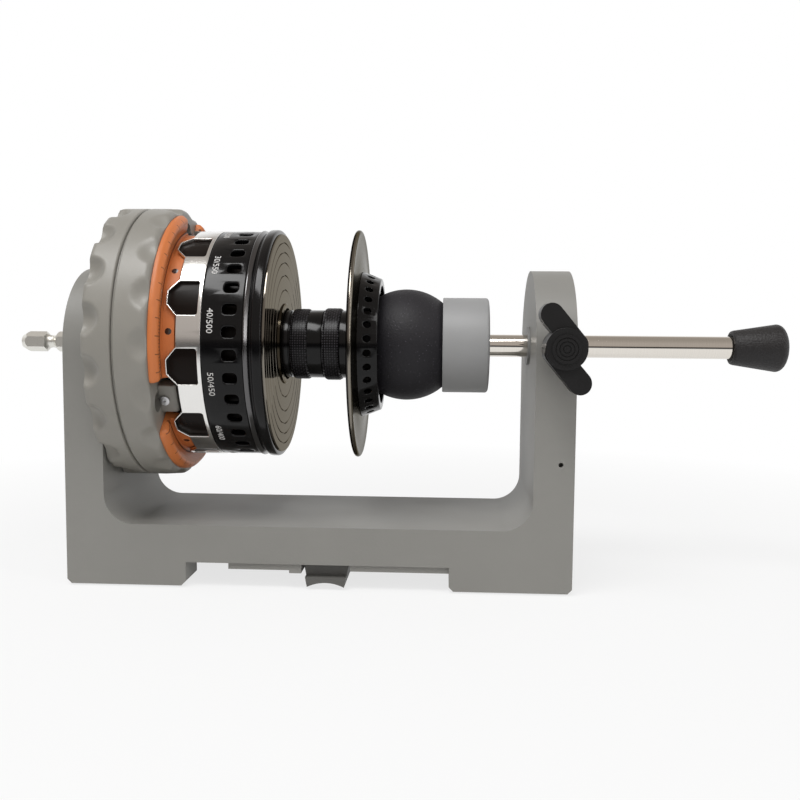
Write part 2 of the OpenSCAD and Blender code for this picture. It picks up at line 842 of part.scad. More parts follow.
// Curved jaw: base plate, round outer ridge, crease and upright wall that grips the skirt
module jaw(k) color([0.80, 0.44, 0.24]) at_jaw(k) difference() {
    rotate([0, 0, -jaw_reach]) rotate_extrude(angle = 2 * jaw_reach) polygon(concat(
        [[jaw_in, jaw_x], [ridge_r + ridge_round, jaw_x]], ridge_arc,
        [[crease_r, jaw_x + crease_h], [jaw_wall_r, jaw_x + wall_foot_h],
        [jaw_wall_r - wall_draft, jaw_x + wall_h], [jaw_wall_r - wall_t, jaw_x + wall_h],
        [jaw_wall_r - wall_t, jaw_x + wall_foot_h], [jaw_in, jaw_x + wall_foot_h]]
    ));
    for (side = [-1, 1]) {
        rotate([0, 0, side * jaw_reach]) mirror([0, side > 0 ? 0 : 1, 0])
            translate([ridge_r + ridge_round - end_round, -end_round, jaw_x - over])
            linear_extrude(wall_h) difference() {
                square(end_round + over);
                circle(r = end_round);
            }
    }
    for (a = pin_angles) {
        radial(a, jaw_wall_r - pin_len) translate([0, jaw_x + (wall_foot_h + wall_h) / 2])
            cylinder(r = pin_r + run_gap, h = pin_len + over);
    }
    translate([jaw_screw_at, 0, jaw_x - over]) cylinder(r = m3_r + screw_gap, h = wall_h);
    translate([jaw_screw_at, 0, 0]) rod(m3_head_r + screw_gap, wall_h, jaw_x + wall_foot_h - m3_head_t);
}

// Slide under a jaw: its teeth stand in the scroll and its neck comes up through the slot
module jaw_slide(k) color([0.36, 0.36, 0.37]) at_jaw(k) difference() {
    middle = jaw_first + jaw_step * (k - 1);
    w = slot_w - 2 * slide_gap;
    neck_w = slot_neck_w - 2 * slide_gap;
    union() {
        translate([slide_in, -w / 2, spigot_x]) cube([slide_out - slide_in, w, slot_shelf - slide_gap]);
        translate([neck_in, -neck_w / 2, spigot_x]) cube([neck_out - neck_in, neck_w, jaw_x - spigot_x]);
        for (turn = [1 : teeth]) {
            a = middle + 360 * turn - (middle > 360 ? 360 : 0);
            r = land_mid(a) + scroll_pitch / 2;
            if (r - tooth_w > slide_in && r + tooth_w < slide_out) {
                rotate([0, 0, -middle]) translate([0, 0, land_x + face_gap])
                    linear_extrude(spigot_x - land_x - face_gap + over)
                    polygon(scroll_band(a - tooth_angle, a + tooth_angle,
                        scroll_pitch / 2, tooth_w, tooth_steps));
            }
        }
    }
    translate([jaw_screw_at, 0, jaw_x - jaw_screw_len]) cylinder(r = m3_r, h = jaw_screw_len + over);
}

module jaw_pins(k) color([0.20, 0.20, 0.21]) at_jaw(k) for (a = pin_angles) {
    radial(a, jaw_wall_r - pin_len) translate([0, jaw_x + (wall_foot_h + wall_h) / 2])
        cylinder(r = pin_r, h = pin_len - wall_draft);
}

module jaw_screws(k) color([0.30, 0.30, 0.31]) at_jaw(k) translate([jaw_screw_at, 0, 0]) {
    rod(m3_head_r, m3_head_t, jaw_x + wall_foot_h - m3_head_t);
    rod(m3_r, jaw_screw_len + wall_foot_h - m3_head_t + over / 2, jaw_x - jaw_screw_len + run_gap);
}

module jaw_1() jaw(1);
module jaw_2() jaw(2);
module jaw_3() jaw(3);
module jaw_slide_1() jaw_slide(1);
module jaw_slide_2() jaw_slide(2);
module jaw_slide_3() jaw_slide(3);
module jaw_pins_1() jaw_pins(1);
module jaw_pins_2() jaw_pins(2);
module jaw_pins_3() jaw_pins(3);
module jaw_screws_1() jaw_screws(1);
module jaw_screws_2() jaw_screws(2);
module jaw_screws_3() jaw_screws(3);

// Window with a point towards the chuck and round corners towards the band
module window_outline() {
    end = window_rim + window_len;
    inner = window_w - window_corner;
    polygon([
        [-window_tip_w, window_rim], [window_tip_w, window_rim],
        [window_w, window_rim + window_shoulder], [window_w, end - window_corner],
        [inner, end], [-inner, end],
        [-window_w, end - window_corner], [-window_w, window_rim + window_shoulder]
    ]);
    for (x = [-inner, inner]) {
        translate([x, end - window_corner]) circle(r = window_corner);
    }
}

// Skirt with pointed windows, whose rims stand out of its edge as tabs
module spool_skirt() color([0.80, 0.79, 0.78]) on_axis(skirt_x) difference() {
    pitch_w = skirt_r * tan(180 / windows);
    mouth_w = pitch_w - window_tip_w - window_rim / 2;
    foot_w = pitch_w - window_w - window_rim;
    tube(skirt_r - skirt_t, skirt_r, skirt_len);
    for (i = [0 : windows - 1]) {
        radial(window_turn + 360 * i / windows, skirt_r / 2) linear_extrude(skirt_r) window_outline();
        radial(window_turn + 360 * (i + 0.5) / windows, skirt_r / 2) linear_extrude(skirt_r)
            polygon([[-mouth_w, -over], [mouth_w, -over], [foot_w, tab_h], [-foot_w, tab_h]]);
    }
}

// Dark drum behind the windows
module spool_drum() color([0.05, 0.05, 0.05]) on_axis(skirt_x) difference() {
    rod(drum_r, rim_x + rim_web - run_gap - skirt_x - drum_gap, drum_gap);
    rod(drum_r - drum_t, rim_x - skirt_x - drum_gap + over, drum_gap - over);
    rod(arbor_r - arbor_wall, rim_len + 2 * over, rim_x - skirt_x - over);
}

module spool_band() color([0.06, 0.06, 0.06]) on_axis(band_x) difference() {
    band_r = skirt_r - band_step;
    tube(band_r - band_t, band_r, band_len);
    for (i = [0 : band_holes - 1]) {
        radial(window_turn + 360 * (i + 0.5) / band_holes, skirt_r / 2) linear_extrude(skirt_r)
            translate([0, hole_at]) round_rect(hole_w, hole_len, hole_round);
    }
}

// Rim that closes the band, with a round outer edge
module spool_rim() color([0.06, 0.06, 0.06]) on_axis(rim_x) difference() {
    rotate_extrude() {
        polygon([
            [0, rim_web], [drum_r + run_gap, rim_web], [drum_r + run_gap, 0],
            [rim_r - rim_round, 0], [rim_r - rim_round, rim_len], [0, rim_len]
        ]);
        translate([rim_r - rim_round - over, rim_round])
            square([rim_round + over, rim_len - 2 * rim_round]);
        for (z = [rim_round, rim_len - rim_round]) {
            translate([rim_r - rim_round, z]) circle(r = rim_round);
        }
    }
    rod(arbor_r - arbor_wall, rim_len + 2 * over, -over);
}

// Bright front face with turned grooves and a low boss
module spool_face() color([0.47, 0.44, 0.40]) on_axis(spool_face_x) difference() {
    face_r = rim_r - rim_round - face_inset;
    union() {
        rod(face_r, face_t);
        rod(boss_r, face_t + boss_h);
    }
    for (share = groove_shares) {
        tube(face_r * share, face_r * share + groove_w, groove_depth + over, face_t - groove_depth);
    }
    rod(arbor_r + run_gap, face_t + boss_h + 2 * over, -over);
}

// Disc with straight knurls
module knurled(r, len) {
    linear_extrude(len) polygon([
        for (i = [0 : 2 * knurls - 1]) let(a = 180 * i / knurls, q = i % 2 == 0 ? r : r - knurl_depth)
            [q * cos(a), q * sin(a)]
    ]);
}

// Stepped arbor with two knurled bands
module spool_arbor() color([0.06, 0.06, 0.06]) on_axis(spool_face_x) difference() {
    s = [for (q = arbor_shares) q * arbor_len];
    union() {
        rod(arbor_r - arbor_groove, arbor_len);
        rod(arbor_r, s[1]);
        rod(arbor_r, s[2] - s[1] - arbor_groove / 2, s[1] + arbor_groove / 2);
        translate([0, 0, s[3]]) knurled(arbor_r, s[4] - s[3]);
        rod(arbor_r - arbor_groove / 4, s[5] - s[4], s[4]);
        translate([0, 0, s[5]]) knurled(arbor_r + knurl_depth, s[6] - s[5]);
        rod(arbor_r, s[7] - s[6] - arbor_groove / 2, s[6] + arbor_groove / 2);
        rod(arbor_r, s[8] - s[7] - arbor_groove / 2, s[7] + arbor_groove / 2);
    }
    rod(arbor_r - arbor_wall, arbor_len + 2 * over, -over);
}

// Far rim: thin dished disc with a rolled lip
module front_flange() color([0.10, 0.10, 0.10]) on_axis(flange_x) difference() {
    rotate_extrude() {
        polygon([
            [0, 0], [rim_r - flange_lip, 0], [rim_r - flange_lip, 2 * flange_lip],
            [rim_r - 2 * flange_lip, flange_t - flange_dish],
            [cup_r0 + cup_chamfer, flange_t], [0, flange_t]
        ]);
        translate([rim_r - flange_lip, flange_lip]) circle(r = flange_lip);
    }
    rod(flange_bore, flange_t + 2 * over, -over + flange_t / 2);
    rod(arbor_r - arbor_wall, flange_t + 2 * over, -over);
}

// Perforated cup that the soft ball presses into
module flange_cup() color([0.07, 0.07, 0.07]) on_axis(cup_x) difference() {
    rotate_extrude() polygon([
        [cup_r0 - cup_wall, 0], [cup_r0, 0], [cup_r1, cup_len - cup_chamfer],
        [cup_r1 - cup_chamfer, cup_len], [cup_r1 - cup_wall, cup_len]
    ]);
    for (i = [0 : cup_holes - 1]) {
        radial(360 * i / cup_holes, cup_r1 / 2) translate([0, cup_hole_at])
            cylinder(r = cup_hole_r, h = cup_r1);
    }
}

module tail_rod() color([0.78, 0.77, 0.75]) on_axis() difference() {
    union() {
        rod(rod_r, cap_end - cap_dome - rod_start - rod_chamfer, rod_start + rod_chamfer);
        translate([0, 0, rod_start]) cylinder(r1 = rod_r - rod_chamfer, r2 = rod_r, h = rod_chamfer);
    }
    rod(m4_r, axle_screw_len + over, rod_start - over);
    tube(rod_r - clip_groove, clip_r, clip_t, tail_bearing_x + 2 * bearing_w + race_gap + run_gap);
}

module tail_bearing_inner() color([0.72, 0.72, 0.73]) on_axis() {
    bearing_inner(tail_bearing_x, rod_r);
    bearing_inner(tail_bearing_x + bearing_w + race_gap, rod_r);
}

module tail_bearing_outer() color([0.70, 0.70, 0.71]) on_axis() {
    bearing_outer(tail_bearing_x);
    bearing_outer(tail_bearing_x + bearing_w + race_gap);
}

module tail_bearing_balls() color([0.80, 0.80, 0.81]) on_axis() {
    bearing_balls(tail_bearing_x);
    bearing_balls(tail_bearing_x + bearing_w + race_gap);
}

// Screw and washer that hold the bearings on the rod
module tail_screw() color([0.62, 0.62, 0.63]) on_axis() difference() {
    union() {
        rod(race_inner_out, screw_washer_t, rod_start - screw_washer_t);
        rod(m4_head_r, m4_head_t, rod_start - screw_washer_t - m4_head_t);
        rod(m4_r - run_gap, axle_screw_len - over, rod_start - screw_washer_t);
    }
    translate([0, 0, rod_start - screw_washer_t - m4_head_t - over])
        cylinder(r = m4_r / 2, h = over + m4_head_t / 2, $fn = 6);
}

module tail_clip() color([0.30, 0.30, 0.31]) on_axis() difference() {
    start = tail_bearing_x + 2 * bearing_w + race_gap + run_gap;
    tube(rod_r - clip_groove + run_gap, clip_r, clip_t - 2 * run_gap, start + run_gap);
    translate([0, -rod_r / 2, start - over]) cube([clip_r + over, rod_r, clip_t + 2 * over]);
}

// Tapered rubber cap with a domed end and a round lip where the rod goes in
module rod_cap() color([0.07, 0.07, 0.07]) on_axis() difference() {
    steps = 8;
    rotate_extrude() polygon(concat(
        [[0, cap_x], [cap_small_r - cap_lip, cap_x], [cap_small_r, cap_x + cap_lip]],
        [[cap_r, cap_end - cap_dome]],
        [for (i = [1 : steps]) let(a = 90 * i / steps)
            [cap_r * pow(cos(a), cap_fullness), cap_end - cap_dome + cap_dome * sin(a)]]
    ));
    rod(rod_r + run_gap, cap_len - cap_dome + over + run_gap, cap_x - over);
}

module tail_ball() color([0.09, 0.085, 0.09]) on_axis() difference() {
    intersection() {
        translate([0, 0, ball_mid]) sphere(r = ball_r);
        rod(ball_r, housing_x - ball_x, ball_x);
    }
    rod(ball_well_r, ball_well + over, housing_x - ball_well);
}

module tail_housing() color([0.57, 0.57, 0.57]) on_axis() difference() {
    rotate_extrude() {
        polygon([
            [0, housing_x], [housing_r - housing_round / 2, housing_x],
            [housing_r, housing_x + housing_round / 2], [housing_r, housing_end - housing_round],
            [housing_r - housing_round, housing_end - housing_round],
            [housing_r - housing_round, housing_end], [0, housing_end]
        ]);
        translate([housing_r - housing_round, housing_end - housing_round]) circle(r = housing_round);
    }
    rod(bearing_r, housing_len - housing_face + over, housing_x - over);
    rod(housing_hole_r, housing_face + 2 * over, housing_end - housing_face - over);
}

// Outline of the two wings, each set to one side of the hub
module wing_outline() {
    for (turn = [0, 180]) {
        rotate(turn) translate([0, -wing_offset]) rotate(atan(wing_offset / wing_reach))
            tangent_bar(sqrt(wing_reach * wing_reach + wing_offset * wing_offset), wing_tip_r, wing_tip_r);
    }
}

// Places children on the inner face of the clamp knob
module knob_inner() {
    knob_place() translate([0, 0, arch_r + knob_gap]) children();
}

module clamp_knob() color([0.07, 0.07, 0.07]) knob_inner() difference() {
    union() {
        rod(knob_foot_r, knob_foot_t + over);
        translate([0, 0, knob_foot_t]) cylinder(r = knob_hub_r, h = knob_t - knob_foot_t);
        translate([0, 0, knob_t - wing_t - wing_set_back]) linear_extrude(wing_t)
            rotate(wing_angle) wing_outline();
    }
    rod(stud_r, stud_in_knob + over, -over);
    rod(knob_cap_r + run_gap, knob_cap_t + over, knob_t - knob_cap_t);
}

module knob_cap() color([0.09, 0.09, 0.09]) knob_inner() difference() {
    rod(knob_cap_r, knob_cap_t + knob_cap_proud, knob_t - knob_cap_t);
    for (i = [1 : knob_rings]) {
        r = knob_cap_r * i / (knob_rings + 1);
        tube(r - knob_ring_w / 2, r + knob_ring_w / 2, knob_ring_cut + over,
            knob_t + knob_cap_proud - knob_ring_cut);
    }
}

module knob_stud() color([0.62, 0.62, 0.63]) knob_place() {
    rod(stud_r, arch_r + knob_gap + stud_in_knob - rod_r - 2 * run_gap, rod_r + 2 * run_gap);
}

cradle_frame();
foot_pads();
spindle_bush();
spindle_bearing_outer();
spindle_bearing_balls();
rod_bush();
knob_insert();
saddle_shoe();
saddle_screw();
saddle_insert();
drive_shank();
spindle_bearing_inner();
retaining_clip();
thrust_washer();
chuck_hub();
chuck_body();
hub_screws();
guide_blocks();
guide_screws();
grip_ring();
scroll_plate();
scroll_screws();
jaw_1();
jaw_slide_1();
jaw_pins_1();
jaw_screws_1();
jaw_2();
jaw_slide_2();
jaw_pins_2();
jaw_screws_2();
jaw_3();
jaw_slide_3();
jaw_pins_3();
jaw_screws_3();
spool_skirt();
spool_drum();
spool_band();
spool_rim();
spool_face();
spool_arbor();
front_flange();
flange_cup();
tail_rod();
tail_bearing_inner();
tail_screw();
tail_clip();
rod_cap();
tail_ball();
tail_housing();
tail_bearing_outer();
tail_bearing_balls();
clamp_knob();
knob_cap();
knob_stud();
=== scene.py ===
"""Looks of a drill driven winder for fishing line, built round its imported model.

Everything is in metres in the model's own frame: X runs along the spindle from the drive shank
to the cap on the rod, Z is up and the front faces -Y. Pieces ride on the bodies of the model.
"""
import json
import math

import bmesh
import bpy
from mathutils import Matrix, Vector

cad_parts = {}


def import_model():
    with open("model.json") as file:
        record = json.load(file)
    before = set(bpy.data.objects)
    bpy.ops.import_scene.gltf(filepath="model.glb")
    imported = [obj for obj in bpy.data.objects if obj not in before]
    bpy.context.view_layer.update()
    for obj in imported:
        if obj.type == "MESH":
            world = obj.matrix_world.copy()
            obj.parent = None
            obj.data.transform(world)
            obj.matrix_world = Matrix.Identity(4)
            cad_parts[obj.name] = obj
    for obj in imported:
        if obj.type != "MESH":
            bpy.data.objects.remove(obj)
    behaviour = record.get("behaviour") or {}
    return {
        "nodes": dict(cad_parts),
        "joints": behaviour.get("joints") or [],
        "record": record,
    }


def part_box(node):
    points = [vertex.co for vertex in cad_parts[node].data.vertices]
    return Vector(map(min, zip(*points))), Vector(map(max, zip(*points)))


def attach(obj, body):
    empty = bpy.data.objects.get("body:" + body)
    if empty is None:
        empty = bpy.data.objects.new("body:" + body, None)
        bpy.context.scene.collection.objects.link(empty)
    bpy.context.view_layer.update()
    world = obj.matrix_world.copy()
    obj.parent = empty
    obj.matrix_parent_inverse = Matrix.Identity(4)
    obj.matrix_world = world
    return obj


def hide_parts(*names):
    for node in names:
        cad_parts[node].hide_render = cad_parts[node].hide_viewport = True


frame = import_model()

bl_info = {
    "name": "Line winder",
    "version": (1, 0, 0),
    "blender": (4, 5, 0),
    "location": "3D View > Sidebar > Winder",
    "description": "Builds the pieces, finishes and stage of a drill driven line winder",
    "category": "Object",
}

MM = 0.001
WELD = 2e-6
FLAT = math.radians(0.4)
FULL = 2 * math.pi
WHITE = (1, 1, 1, 1)
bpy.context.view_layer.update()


def low(node):
    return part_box(node)[0]


def high(node):
    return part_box(node)[1]


def radius(node):
    """Largest radius of a round node about the spindle axis"""
    return (high(node).y - low(node).y) / 2


def extent(node):
    """Where a round node starts and ends along the spindle, and its largest radius"""
    return low(node).x, high(node).x, radius(node)


# Places that the frame gives
AXIS = (low("grip_ring").z + high("grip_ring").z) / 2
CHUCK_R = radius("grip_ring")
RING_X = low("grip_ring").x
SEAM_X = high("grip_ring").x
FACE_X = high("chuck_body").x
SKIRT_X = low("spool_skirt").x
BAND_X = low("spool_band").x
RIM_X = low("spool_rim").x
FLANGE_X = low("front_flange").x
KNOB_X = (low("knob_stud").x + high("knob_stud").x) / 2

# Sizes that more than one piece shares
HUB_HOLE_R = 16.05 * MM
SPOOL_BORE_R = 9 * MM
SKIRT_WALL = 1.2 * MM
BEAD_REACH = 0.9 * MM


def jaw_angle(k):
    """Angle of the middle of a jaw, from +Y towards +Z, told by the way it slides"""
    slide = next(j for j in frame["joints"] if j["name"] == f"jaw_{k}_slide")
    return math.atan2(-slide["axis"][2], -slide["axis"][1])


JAWS = {k: jaw_angle(k) for k in (1, 2, 3)}


# Mesh tools

def polar(v):
    """Distance of a vertex from the spindle axis, and its angle about it"""
    across, up = v.co.y, v.co.z - AXIS
    return math.hypot(across, up), math.atan2(up, across)


def set_distance(v, r, new):
    """Moves a vertex straight out or in, from one distance from the spindle axis to another"""
    v.co.y *= new / r
    v.co.z = AXIS + (v.co.z - AXIS) * new / r


def turn_mesh(bm, angle):
    """Turns a mesh about the spindle axis"""
    bmesh.ops.rotate(bm, verts=bm.verts, cent=(0, 0, AXIS), matrix=Matrix.Rotation(angle, 3, "X"))


def about_spindle(angle):
    """Matrix that lifts a shape to the spindle axis and turns it about it"""
    return Matrix.Translation((0, 0, AXIS)) @ Matrix.Rotation(angle, 4, "X")


def from_here(x, r, pairs):
    """Points of a profile, given in millimetres from a place along the axis and a radius"""
    return [(x + along * MM, r + out * MM) for along, out in pairs]


def arc(x, r, size, start, end, steps):
    """Points of a profile on a circle, from one angle to another, told from straight out"""
    return [(x + size * math.sin(a), r + size * math.cos(a))
            for a in (start + (end - start) * k / steps for k in range(steps + 1))]


def panel(reach, pitch):
    return [(0, 0), (0, pitch), (reach, pitch), (reach, 0)]


def beyond(x):
    """Picks the edges that lie past a place along the axis"""
    return lambda e: all(v.co.x > x - WELD for v in e.verts)


def before(x):
    """Picks the edges that lie short of a place along the axis"""
    return lambda e: all(v.co.x < x + WELD for v in e.verts)


def outermost(r):
    """Picks the edges that lie at the largest radius"""
    return lambda e: all(polar(v)[0] > r - WELD for v in e.verts)


def straight(points):
    """An open chain of edges through points"""
    bm = bmesh.new()
    verts = [bm.verts.new(p) for p in points]
    for pair in zip(verts, verts[1:]):
        bm.edges.new(pair)
    return bm


def lathe(profile, steps=128, closed=True):
    """Spins a profile of places along the axis and radii once round the spindle axis"""
    points = [(x, 0, AXIS + r) for x, r in profile]
    bm = straight(points + points[:1] if closed else points)
    bmesh.ops.spin(bm, geom=bm.verts[:] + bm.edges[:], cent=(0, 0, AXIS), axis=(1, 0, 0),
                   angle=FULL, steps=steps, use_merge=True)
    bmesh.ops.remove_doubles(bm, verts=bm.verts, dist=WELD)
    bmesh.ops.recalc_face_normals(bm, faces=bm.faces)
    return bm


def sector(profile, middle, half, steps, end=0, rows=6):
    """Spins a closed profile through part of a turn, to both sides of an angle, with rows near its ends"""
    bm = bmesh.new()
    last = [bm.faces.new([bm.verts.new((x, 0, AXIS + r)) for x, r in profile])]
    turn_mesh(bm, middle - half - math.pi / 2)
    for sweep, count in ((end, rows), (2 * (half - end), steps), (end, rows)):
        if sweep:
            last = bmesh.ops.spin(bm, geom=last, cent=(0, 0, AXIS), axis=(1, 0, 0), angle=sweep,
                                  steps=count)["geom_last"]
    bmesh.ops.remove_doubles(bm, verts=bm.verts, dist=WELD)
    bmesh.ops.recalc_face_normals(bm, faces=bm.faces)
    return bm


def soften(bm, width, segments=3, angle=30, where=None):
    """Bevels the edges that are sharper than an angle"""
    edges = [e for e in bm.edges if len(e.link_faces) == 2 and e.calc_face_angle(0) > math.radians(angle)
             and (where is None or where(e))]
    bmesh.ops.bevel(bm, geom=edges, offset=width, offset_type="OFFSET", segments=segments,
                    profile=0.5, affect="EDGES", clamp_overlap=True, material=-1)


def merged_copy(node):
    """A joined-up copy of a node's mesh, with its flat faces whole"""
    bm = bmesh.new()
    bm.from_mesh(frame["nodes"][node].data)
    bmesh.ops.remove_doubles(bm, verts=bm.verts, dist=WELD)
    bmesh.ops.dissolve_limit(bm, angle_limit=FLAT, verts=bm.verts, edges=bm.edges)
    return bm


def rounded(points, r, steps=5):
    """Corners of a flat outline replaced by arcs"""
    out = []
    for i, p in enumerate(points):
        p = Vector(p)
        a = (Vector(points[i - 1]) - p).normalized()
        b = (Vector(points[(i + 1) % len(points)]) - p).normalized()
        half = a.angle(b) / 2
        reach = r / math.tan(half)
        middle = p + (a + b).normalized() * (r / math.sin(half))
        start = p + a * reach - middle
        sweep = start.angle_signed(p + b * reach - middle)
        out += [middle + Matrix.Rotation(-sweep * k / steps, 2) @ start for k in range(steps + 1)]
    return out


def circle(centre, r, steps):
    return [Vector(centre) + Vector((r * math.cos(a), r * math.sin(a)))
            for a in (FULL * k / steps for k in range(steps))]


def loop(bm, points):
    verts = [bm.verts.new((p[0], p[1], 0)) for p in points]
    return [bm.edges.new(pair) for pair in zip(verts, verts[1:] + verts[:1])]


def wrapped(x, reach, r0, r1, wall, count, outline, holes, edge, cuts):
    """A wall bent round the axis, made of equal panels whose outline and holes are given flat.

    The flat panel has the axis along x and the way round along y, from 0 to one panel's width.
    The wall starts at x with radius r0 and reaches on to radius r1; edge is its edges' bevel, and
    cuts is the number of strips that each panel is cut into before it is bent.
    """
    pitch = FULL * r0 / count
    bm = bmesh.new()
    edges = [e for points in (outline, *holes) for e in loop(bm, points)]
    bmesh.ops.triangle_fill(bm, edges=edges, use_beauty=True, normal=(0, 0, 1))
    bmesh.ops.dissolve_limit(bm, angle_limit=FLAT, verts=bm.verts, edges=bm.edges)
    bmesh.ops.recalc_face_normals(bm, faces=bm.faces)
    grown = bmesh.ops.extrude_face_region(bm, geom=bm.faces[:], use_keep_orig=True)
    down = [v for v in grown["geom"] if isinstance(v, bmesh.types.BMVert)]
    bmesh.ops.translate(bm, verts=down, vec=(0, 0, -wall))

    def at_end(element, y):
        return all(abs(v.co.y - y) < WELD for v in element.verts)

    ends = [f for f in bm.faces if at_end(f, 0) or at_end(f, pitch)]
    bmesh.ops.delete(bm, geom=ends, context="FACES")
    bmesh.ops.recalc_face_normals(bm, faces=bm.faces)
    soften(bm, edge, 3, 50)
    for k in range(1, cuts):
        bmesh.ops.bisect_plane(bm, geom=bm.verts[:] + bm.edges[:] + bm.faces[:], dist=1e-7,
                               plane_co=(0, pitch * k / cuts, 0), plane_no=(0, 1, 0))
    for v in bm.verts:
        along, turn = v.co.x, v.co.y / r0
        r = r0 + (r1 - r0) * along / reach + v.co.z
        v.co = (x + along, r * math.cos(turn), AXIS + r * math.sin(turn))
    bmesh.ops.spin(bm, geom=bm.verts[:] + bm.edges[:] + bm.faces[:], cent=(0, 0, AXIS), axis=(1, 0, 0),
                   angle=FULL, steps=count, use_duplicate=True)
    bmesh.ops.remove_doubles(bm, verts=bm.verts, dist=WELD * 4)
    return bm


def dish_out(bm, centres, ball_r, blend):
    """Scoops balls out of a round surface, with soft rims: every point moves in towards the axis"""
    for v in bm.verts:
        r, angle = polar(v)
        if r < ball_r:
            continue
        new = r
        for x, turn, at in centres:
            across = at * math.sin(angle - turn)
            if math.cos(angle - turn) < 0 or abs(across) > 2 * ball_r:
                continue
            q = ball_r ** 2 - across ** 2 - (v.co.x - x) ** 2
            cut = at * math.cos(angle - turn) - math.copysign(math.sqrt(abs(q)), q)
            h = max(0.0, min(1.0, 0.5 + (cut - new) / (2 * blend)))
            new = cut + (new - cut) * h - blend * h * (1 - h)
        set_distance(v, r, new)


def new_object(name, data):
    obj = bpy.data.objects.new(name, data)
    bpy.context.scene.collection.objects.link(obj)
    return obj


def finished_mesh(obj):
    """The mesh that an object has once its modifiers or letters are worked out"""
    graph = bpy.context.evaluated_depsgraph_get()
    return bpy.data.meshes.new_from_object(obj.evaluated_get(graph))


def cut_away(obj, cutter):
    """Takes one mesh out of an object, and keeps the result as its mesh"""
    bmesh.ops.recalc_face_normals(cutter, faces=cutter.faces)
    tool = new_object("cutter", bpy.data.meshes.new("cutter"))
    cutter.to_mesh(tool.data)
    cutter.free()
    change = obj.modifiers.new("cut", "BOOLEAN")
    change.object, change.operation, change.solver = tool, "DIFFERENCE", "EXACT"
    mesh = finished_mesh(obj)
    obj.modifiers.clear()
    obj.data = mesh
    bpy.data.objects.remove(tool)


def place(name, bm, body, slot, nodes=(), angle=35):
    """A finished mesh becomes a piece that rides on a body and stands for some nodes"""
    mesh = bpy.data.meshes.new(name)
    bm.to_mesh(mesh)
    bm.free()
    for layer in [a for a in mesh.attributes if a.name == "custom_normal"]:
        mesh.attributes.remove(layer)
    obj = new_object(name, mesh)
    mesh.materials.clear()
    mesh.materials.append(FINISHES[slot]())
    smooth(obj, angle)
    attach(obj, body)
    if nodes:
        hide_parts(*nodes)
    return obj


def smooth(obj, angle=35):
    obj.data.shade_smooth()
    obj.data.set_sharp_from_angle(angle=math.radians(angle))


def even_normals(obj):
    weigh = obj.modifiers.new("even normals", "WEIGHTED_NORMAL")
    weigh.keep_sharp = True


# Shader tools

def add(tree, kind, sockets=None, **options):
    """A shader node with its options, and values or links for its sockets"""
    node = tree.nodes.new("ShaderNode" + kind)
    for key, value in options.items():
        setattr(node, key, value)
    for key, value in (sockets or {}).items():
        if isinstance(value, bpy.types.NodeSocket):
            tree.links.new(value, node.inputs[key])
        else:
            node.inputs[key].default_value = value
    return node


def maths(tree, operation, *values):
    return add(tree, "Math", dict(enumerate(values)), operation=operation).outputs[0]


def ramp(tree, value, start, reach=(0, 1)):
    """A value's way from one end to the other of a range, within two limits"""
    return add(tree, "MapRange", {"Value": value, "From Min": start[0], "From Max": start[1],
                                  "To Min": reach[0], "To Max": reach[1]}).outputs[0]


def shown_rays(tree):
    """1 for what the eye, a gloss or a glass sees of the background, and 0 for the light it gives"""
    path = add(tree, "LightPath").outputs
    return maths(tree, "MAXIMUM", maths(tree, "MAXIMUM", path["Is Camera Ray"], path["Is Glossy Ray"]),
                 path["Is Transmission Ray"])


def new_group(name, inputs, outputs):
    """An empty node group with its named sockets"""
    tree = bpy.data.node_groups.new(name, "ShaderNodeTree")
    kinds = {"value": "NodeSocketFloat", "color": "NodeSocketColor", "vector": "NodeSocketVector"}
    for label, kind, default in inputs:
        tree.interface.new_socket(name=label, in_out="INPUT", socket_type=kinds[kind]).default_value = default
    for label, kind in outputs:
        tree.interface.new_socket(name=label, in_out="OUTPUT", socket_type=kinds[kind])
    return tree, tree.nodes.new("NodeGroupInput").outputs, tree.nodes.new("NodeGroupOutput").inputs


def spindle_places(tree):
    """Sockets with a point's place along the spindle, and its two places across from the axis"""
    split = add(tree, "SeparateXYZ", {0: add(tree, "TexCoord").outputs["Object"]}).outputs
    return split[0], split[1], maths(tree, "SUBTRACT", split[2], AXIS)


def distance(tree, across, up):
    squares = maths(tree, "ADD", maths(tree, "MULTIPLY", up, up), maths(tree, "MULTIPLY", across, across))
    return maths(tree, "SQRT", squares)


def once(make):
    """Keeps what a function made, so that it is made once"""
    kept = []

    def get():
        if not kept:
            kept.append(make())
        return kept[0]
    return get


@once
def grain_group():
    """Moulded surface: cloudy shade, a little uneven gloss and a fine spark eroded grain"""
    tree, given, out = new_group(
        "Moulded grain",
        [("Color", "color", (0.2, 0.2, 0.2, 1)), ("Spread", "value", 0.1), ("Roughness", "value", 0.5),
         ("Grain", "value", 2500), ("Depth", "value", 0.00002)],
        [("Color", "color"), ("Roughness", "value"), ("Normal", "vector")])
    place_in = add(tree, "TexCoord").outputs["Object"]
    broad = add(tree, "TexNoise", {"Vector": place_in, "Scale": 32, "Detail": 3}).outputs["Fac"]
    fine = add(tree, "TexNoise", {"Vector": place_in, "Scale": given["Grain"], "Detail": 2}).outputs["Fac"]
    swing = maths(tree, "SUBTRACT", broad, 0.5)
    value = maths(tree, "MULTIPLY_ADD", swing, given["Spread"], 1)
    tree.links.new(add(tree, "HueSaturation", {"Value": value, "Color": given["Color"]}).outputs[0], out["Color"])
    tree.links.new(maths(tree, "MULTIPLY_ADD", swing, 0.25, given["Roughness"]), out["Roughness"])
    bump = add(tree, "Bump", {"Height": fine, "Distance": given["Depth"], "Strength": 1})
    tree.links.new(bump.outputs[0], out["Normal"])
    return tree


